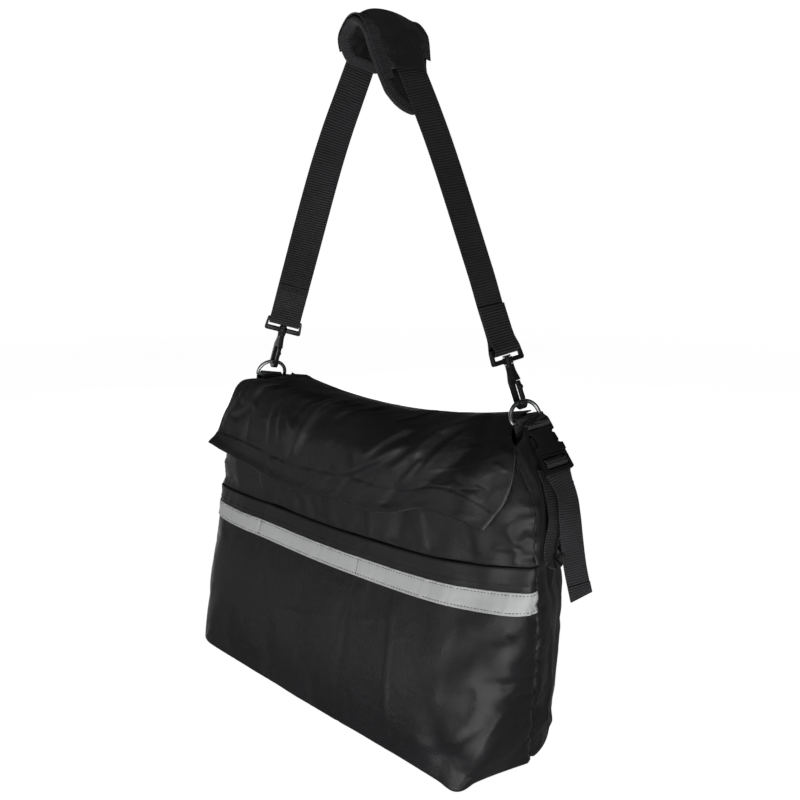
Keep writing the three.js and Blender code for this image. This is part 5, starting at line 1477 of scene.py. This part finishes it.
class BACKBAG_OT_pad(bpy.types.Operator):
    """Make the shoulder pad, its bound edge and the sleeve over the strap"""
    bl_idname = "back_bag.pad"
    bl_label = "Shoulder pad"

    def execute(self, context):
        upper, under = pad_grid()
        rows, columns = upper.shape[:2]
        held = holding(upper, free=0.05, low=1, high=1, sides=1)
        under = settle(under[:, ::-1], held, slack=0.02, press=1.0, steps=16, reach=2.0)[:, ::-1]
        size = rows * columns
        edge = border(rows, columns)
        ahead = np.roll(edge, -1)
        faces = np.concatenate([grid_faces(rows, columns), grid_faces(rows, columns, size)[:, ::-1],
                                np.stack([edge, ahead, size + ahead, size + edge], -1)])
        lay = np.stack([lengths(upper, 1), lengths(upper, 0)], -1)
        pad = make_piece("shoulder_pad_cushion", np.stack([upper, under]), faces, "lining_cloth",
                         np.stack([lay, lay]))
        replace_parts(pad, "shoulder_pad")
        rim = ((upper + under) / 2).reshape(-1, 3)[edge]
        upward = unit((upper - under).reshape(-1, 3)[edge])
        self.binding(rim, upward)
        self.sleeve(context)
        return {"FINISHED"}

    def binding(self, rim, upward):
        """Ribbed tape folded over the edge of the pad."""
        closed = np.concatenate([rim, rim[:1]])
        run = lengths(closed, 0)
        places = np.linspace(0, run[-1], int(run[-1] / BINDING_STEP), endpoint=False)
        line = at_run(closed, run, places)
        up = unit(at_run(np.concatenate([upward, upward[:1]]), run, places))
        for _ in range(6):
            line = (np.roll(line, 1, 0) + 2 * line + np.roll(line, -1, 0)) / 4
        tangent = unit(np.roll(line, -1, 0) - np.roll(line, 1, 0))
        outward = np.cross(tangent, up)
        inside = line.mean(0) - line
        outward = outward * -np.sign((outward * inside).sum(-1, keepdims=True))
        rib = 1 - 0.12 * np.cos(2 * math.pi * places / BINDING_RIB)
        rings = np.stack([line + outward * o + up * n * rib[:, None] for o, n in BINDING_SECTION], 1)
        around = len(BINDING_SECTION)
        lay = np.stack(np.broadcast_arrays(np.arange(around)[None] * 1.6, places[:, None]), -1)
        faces = grid_faces(len(line), around, around=True, closed=True)
        make_piece("pad_binding", rings, faces, "edge_binding", lay)

    def sleeve(self, context):
        """Loose cover over the strap, with a bound long edge at each side."""
        s, w = np.linspace(SLEEVE_START, SLEEVE_END, 84), np.linspace(-1, 1, 44)[None, :]
        tilt = SLEEVE_TILT * w * ramp(s, SLEEVE_START, SLEEVE_END - SLEEVE_START)[:, None]
        run = s[:, None] + tilt
        point, wide, out = strap_frame(run)
        half = (pad_half(run) - SLEEVE_EDGE) * pinched(run, w)
        low = -WEBBING / 2 - PAD_CLEAR + CLEAR + SLEEVE_THICK
        rise = WEBBING / 2 + PAD_CLEAR + SLEEVE_LOOSE - (low - SLEEVE_THICK)
        inside = SLEEVE_HEM - (s[-1] - s)[:, None]
        lift = low + rise * (1 - w ** 2) ** SLEEVE_ROUND
        lift = lift + 0.5 * ripple(run, half * w, 111, scale=46) * (1 - w ** 4)
        lift = lift + 0.5 * hem_step(inside) - 0.5 * bell(inside, 1.4)
        grid = (point + wide * (half * w)[..., None] + out * lift[..., None])[:, ::-1]
        held = np.full(grid.shape[:2], 0.05)
        held[:, 0] = held[:, -1] = 1
        held[0] = held[-1] = 0.3
        if (facing(grid) * out).sum() <= 0:
            grid = grid[:, ::-1]
        grid = settle(grid, held, slack=0.015, press=0.8, steps=16, reach=2.0)
        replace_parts(cloth_piece("pad_sleeve_cloth", grid, 1.2, "black_nylon"), "pad_sleeve")
        pitch = context.scene.back_bag.buckle_rib / MM
        lines = []
        for side, name, end in ((-1, "left", SLEEVE_END + 4), (1, "right", SLEEVE_END - 10)):
            fine = np.arange(SLEEVE_START - 4, end, pitch / 4)
            point, wide, out = strap_frame(fine)
            half = ((pad_half(fine) - SLEEVE_EDGE) * pinched(fine, side) + BINDING_WIDTH / 2 - 1.5)[:, None]
            band = band_along(point + wide * half * side + out * 0.6, unit(wide - out * 0.12 * side))
            webbing_piece(f"sleeve_binding_{name}", band, BINDING_WIDTH, 1.5, pitch, "edge_binding")
            for shift in (-4.2, 4.2):
                lines.append((band.line + band.wide * shift + band.out * 0.8, band.out))
        stitches("sleeve_stitches", lines, pitch=3.2, length=2.3, radius=0.32)


# Hardware

# Moulded pieces at each end: CAD node, piece, moving body if it has one, and share of the edge rounding
HOOK_MOULDINGS = [
    ("swivel_loop", "loop_moulding", None, 1.0),
    ("hook", "hook_moulding", "hook_body", 1.5),
    ("gate", "gate_lever", "gate_body", 0.7),
]
BUCKLE_MOULDINGS = [
    ("buckle_socket", "socket_moulding", None, 1.0),
    ("buckle_prong", "prong_moulding", None, 0.6),
]


def make_mouldings(end, table, edge):
    for node, name, body, share in table:
        body = f"{end.name}_{body}" if body else "bag"
        rounded_copy(f"{end.name}_{node}", f"{end.name}_{name}", body, edge * share)


def rounded_copy(node, name, body, width):
    """Piece with a CAD node's shape, its flat faces joined and its edges rounded."""
    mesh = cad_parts[node].data.copy()
    mesh.name = name
    mesh.materials.clear()
    mesh.materials.append(bpy.data.materials["moulded_plastic"])
    shell = bmesh.new()
    shell.from_mesh(mesh)
    bmesh.ops.remove_doubles(shell, verts=shell.verts, dist=1e-5)
    bmesh.ops.dissolve_limit(shell, angle_limit=math.radians(2), verts=shell.verts, edges=shell.edges)
    bmesh.ops.recalc_face_normals(shell, faces=shell.faces)
    for face in shell.faces:
        face.smooth = True
    shell.to_mesh(mesh)
    shell.free()
    piece = linked(name, mesh)
    bevel = piece.modifiers.new("Rounded edges", "BEVEL")
    bevel.width, bevel.segments = width, 3
    bevel.limit_method, bevel.angle_limit = "ANGLE", math.radians(28)
    bevel.harden_normals = True
    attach(piece, body)
    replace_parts(piece, node)


class BACKBAG_OT_hooks(bpy.types.Operator):
    """Make the swivel loops, snap hooks and their gates"""
    bl_idname = "back_bag.hooks"
    bl_label = "Swivel hooks"

    def execute(self, context):
        for end in ENDS:
            make_mouldings(end, HOOK_MOULDINGS, context.scene.back_bag.edge_round)
        return {"FINISHED"}


# Points round the wire of a D-ring
RING_SIDES = 14


class BACKBAG_OT_rings(bpy.types.Operator):
    """Make the wire D-rings and the webbing tabs that hold them"""
    bl_idname = "back_bag.rings"
    bl_label = "Rings and tabs"

    def execute(self, context):
        pitch = context.scene.back_bag.buckle_rib / MM
        for end in ENDS:
            place = end_frame(end.side, RING_TURN, ring_origin(end.side))
            self.ring(end, place)
            self.tab(end, place, pitch)
        return {"FINISHED"}

    def ring(self, end, place):
        half = RING_INSIDE / 2 + RING_WIRE
        angle = np.linspace(0, math.pi, 49)
        bow = [(half * math.cos(a), RING_TOP * math.sin(a) ** RING_SQUARE) for a in angle]
        bar = [(half * k, 0) for k in np.linspace(-0.94, 0.94, 16)]
        route = np.array(bow + bar)
        for _ in range(3):
            route[:] = (np.roll(route, 1, 0) + 6 * route + np.roll(route, -1, 0)) / 8
        line = np.stack([in_frame(place, x, 0, z) for x, z in route])
        tangent = unit(np.roll(line, -1, 0) - np.roll(line, 1, 0))
        out = np.cross(tangent, place.through)[:, None]
        turn = np.arange(RING_SIDES)[:, None] * 2 * math.pi / RING_SIDES
        rings = line[:, None] + RING_WIRE * (np.cos(turn) * place.through + np.sin(turn) * out)
        faces = grid_faces(len(line), RING_SIDES, around=True, closed=True)
        piece = make_piece(f"{end.name}_d_ring_wire", rings, faces, "plated_wire")
        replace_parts(piece, f"{end.name}_d_ring")

    def tab(self, end, place, pitch):
        inward = math.copysign(1, place.through[0] * -end.side)
        over = round_bar(RING_WIRE + 2 * CLEAR + WEBBING / 2, (0, 45, 90, 135, 180))
        points = [in_frame(place, 0, inward * t, up) for t, up in TAB_TUCK + over]
        across = [place.across] * len(points)
        buckle = buckle_frame(end)
        wide = buckle.across * math.copysign(1, buckle.across.dot(place.across))
        for out, down in TAB_TURN:
            points.append(in_frame(buckle, 0, -out, SOCKET_LENGTH - down))
            across.append(wide)
        band = ribbon(points, across, pitch / 4)
        piece = webbing_piece(f"{end.name}_ring_tab_webbing", band, TAB_WIDTH, WEBBING, pitch)
        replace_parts(piece, f"{end.name}_ring_tab")


class BACKBAG_OT_buckles(bpy.types.Operator):
    """Make the side-release buckles and their webbing"""
    bl_idname = "back_bag.buckles"
    bl_label = "Buckles"

    def execute(self, context):
        settings = context.scene.back_bag
        for end in ENDS:
            make_mouldings(end, BUCKLE_MOULDINGS, settings.edge_round)
            self.webbing(end, settings.buckle_rib / MM)
        return {"FINISHED"}

    def webbing(self, end, pitch):
        buckle = buckle_frame(end)
        points, across = [], []

        def on_wall(route):
            for out, back, z, turn in route:
                y = end.mouth[1] + back
                points.append(np.array([end.side * (wall_x(y, z) + out), y, z]))
                a = math.radians(turn)
                across.append(np.array([end.side * math.cos(a), math.sin(a), 0]))

        on_wall(SLACK_ROUTE)
        for out, up in THREADED_ROUTE:
            points.append(in_frame(buckle, 0, -out, up))
            across.append(buckle.across * end.side)
        on_wall(TAIL_ROUTE)
        band = ribbon(points, across, pitch / 4)
        name = f"{end.name}_buckle_webbing"
        piece = webbing_piece(name, band, BUCKLE_WEB, WEBBING, pitch, slant=TAIL_SLANT)
        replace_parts(piece, f"{end.name}_buckle_strap")
        self.tail(end, band, pitch)

    def tail(self, end, band, pitch):
        """Folded end of the webbing and the stitches across it."""
        face = np.sign((band.out[-1] * end.side)[0])
        folded = band.run > band.run[-1] - TAIL_FOLD
        doubled = SimpleNamespace(**{name: value[folded] for name, value in vars(band).items()})
        doubled.line = doubled.line + doubled.out * WEBBING * 0.9 * face
        webbing_piece(f"{end.name}_tail_fold", doubled, BUCKLE_WEB, WEBBING * 0.8, pitch, slant=TAIL_SLANT)
        row = np.linspace(-BUCKLE_WEB / 2 + 1.5, BUCKLE_WEB / 2 - 1.5, 24)[:, None]
        at = np.argmin(np.abs(band.run - band.run[-1] + TAIL_FOLD - 2.5))
        lines = []
        for height in (face * 1.45, -face * 0.55):
            line = band.line[at] + band.wide[at] * row + band.out[at] * height * WEBBING
            lines.append((line, np.tile(band.out[at] * np.sign(height), (len(row), 1))))
        stitches(f"{end.name}_tail_stitches", lines, pitch=2.6, length=2.0, radius=0.4)


# Stage

# Place that the lights aim at, in metres in the frame
BAG_MIDDLE = (0, 0, -0.5)
# Lights round the bag: azimuth and elevation in degrees, width and height in metres, power in watts
STUDIO_LIGHTS = [
    ("key_light", 37, -15, 1.3, 0.6, 14.0),
    ("front_light", 0, -7, 1.3, 0.5, 3.2),
    ("left_light", -35, -6, 1.3, 0.5, 1.1),
    ("far_left_light", -75, 0, 1.3, 0.6, 0.8),
    ("top_light", 20, 45, 1.3, 0.6, 2.2),
    ("right_side_light", 80, -4, 1.7, 1.2, 1.4),
    ("left_side_light", -108, -8, 1.7, 1.2, 6.0),
    ("back_light", 214, -26, 1.7, 1.7, 11.0),
]
# Floor: radius of its flat part and of its curve, height of its wall, and sides round it
BOWL_FLOOR, BOWL_CURVE, BOWL_HEIGHT, BOWL_SIDES = 3.0, 1.5, 7.0, 64


def direction(azimuth, elevation):
    """Direction from the bag, by angles in radians from straight ahead of its front."""
    flat = math.cos(elevation)
    return Vector((math.sin(azimuth) * flat, -math.cos(azimuth) * flat, math.sin(elevation)))


def look_back(item, away):
    """Turns a camera or a light to look against a direction."""
    item.rotation_mode = "QUATERNION"
    item.rotation_quaternion = (-away).to_track_quat("-Z", "Y")


class BACKBAG_OT_stage(bpy.types.Operator):
    """Make the floor, the lights and the camera"""
    bl_idname = "back_bag.stage"
    bl_label = "Stage"

    def execute(self, context):
        scene, stage = context.scene, context.scene.back_bag_stage
        self.camera(scene, stage)
        self.bowl(stage)
        self.lights(scene, stage)
        scene.view_settings.view_transform = "Standard"
        return {"FINISHED"}

    def camera(self, scene, stage):
        lens = bpy.data.cameras.new("camera")
        lens.lens = stage.lens
        lens.sensor_width, lens.sensor_height, lens.sensor_fit = 36.0, 36.0, "HORIZONTAL"
        lens.clip_start, lens.clip_end = 0.01, 50
        camera = linked("camera", lens)
        camera.location = stage.camera_place
        look_back(camera, direction(stage.azimuth, stage.elevation))
        scene.camera = camera

    def bowl(self, stage):
        """Pale floor that curves up all round, seen by the camera alone so that it casts no light."""
        low = CAD_BOX[0][2] - stage.floor_gap
        curve = np.linspace(0, math.pi / 2, 14)
        profile = [(0.02, 0.0)] + [(BOWL_FLOOR + BOWL_CURVE * math.sin(t), BOWL_CURVE * (1 - math.cos(t)))
                                   for t in curve] + [(BOWL_FLOOR + BOWL_CURVE, BOWL_HEIGHT)]
        around = np.arange(BOWL_SIDES) * 2 * math.pi / BOWL_SIDES
        points = [(r * math.cos(t), r * math.sin(t), low + up) for r, up in profile for t in around]
        faces = grid_faces(len(profile), BOWL_SIDES, around=True).tolist() + [list(range(BOWL_SIDES))]
        mesh = bpy.data.meshes.new("floor")
        mesh.from_pydata(points, [], faces)
        mesh.polygons.foreach_set("use_smooth", [True] * len(faces))
        floor = linked("floor", mesh)
        floor.visible_diffuse = floor.visible_glossy = floor.visible_shadow = False
        paper = bpy.data.materials.new("pale_paper")
        paper.use_nodes = True
        shader = paper.node_tree.nodes["Principled BSDF"]
        shader.inputs["Base Color"].default_value = (0.9, 0.9, 0.9, 1)
        shader.inputs["Roughness"].default_value = 0.9
        shader.inputs["Emission Color"].default_value = (1, 1, 1, 1)
        shader.inputs["Emission Strength"].default_value = 0.95
        mesh.materials.append(paper)

    def lights(self, scene, stage):
        for name, azimuth, elevation, wide, high, power in STUDIO_LIGHTS:
            lamp = bpy.data.lights.new(name, "AREA")
            lamp.shape, lamp.size, lamp.size_y = "RECTANGLE", wide, high
            lamp.energy = power * stage.light_scale
            light = linked(name, lamp)
            away = direction(math.radians(azimuth), math.radians(elevation))
            light.location = Vector(BAG_MIDDLE) + away * stage.light_distance
            look_back(light, away)
        world = bpy.data.worlds.new("studio")
        world.use_nodes = True
        sky = world.node_tree.nodes["Background"]
        sky.inputs["Color"].default_value = (1, 1, 1, 1)
        sky.inputs["Strength"].default_value = stage.ambient
        scene.world = world


OPERATORS = (BACKBAG_OT_stage, BACKBAG_OT_walls, BACKBAG_OT_pocket, BACKBAG_OT_flap, BACKBAG_OT_strap,
             BACKBAG_OT_pad, BACKBAG_OT_hooks, BACKBAG_OT_rings, BACKBAG_OT_buckles)


class BACKBAG_PT_panel(bpy.types.Panel):
    """Pieces and settings of the back bag"""
    bl_label = "Back bag"
    bl_idname = "BACKBAG_PT_panel"
    bl_space_type = "VIEW_3D"
    bl_region_type = "UI"
    bl_category = "Back bag"

    def draw(self, context):
        layout = self.layout
        for settings in (context.scene.back_bag, context.scene.back_bag_stage):
            for name in settings.__annotations__:
                layout.prop(settings, name)
        for operator in OPERATORS:
            layout.operator(operator.bl_idname)


CLASSES = (BackBagSettings, StageSettings, *OPERATORS, BACKBAG_PT_panel)


def register():
    for cls in CLASSES:
        bpy.utils.register_class(cls)
    bpy.types.Scene.back_bag = PointerProperty(type=BackBagSettings)
    bpy.types.Scene.back_bag_stage = PointerProperty(type=StageSettings)


def unregister():
    del bpy.types.Scene.back_bag_stage
    del bpy.types.Scene.back_bag
    for cls in reversed(CLASSES):
        bpy.utils.unregister_class(cls)


def main():
    register()
    make_finishes(bpy.context.scene.back_bag)
    for operator in OPERATORS:
        group, name = operator.bl_idname.split(".")
        getattr(getattr(bpy.ops, group), name)()


if __name__ == "__main__":
    main()
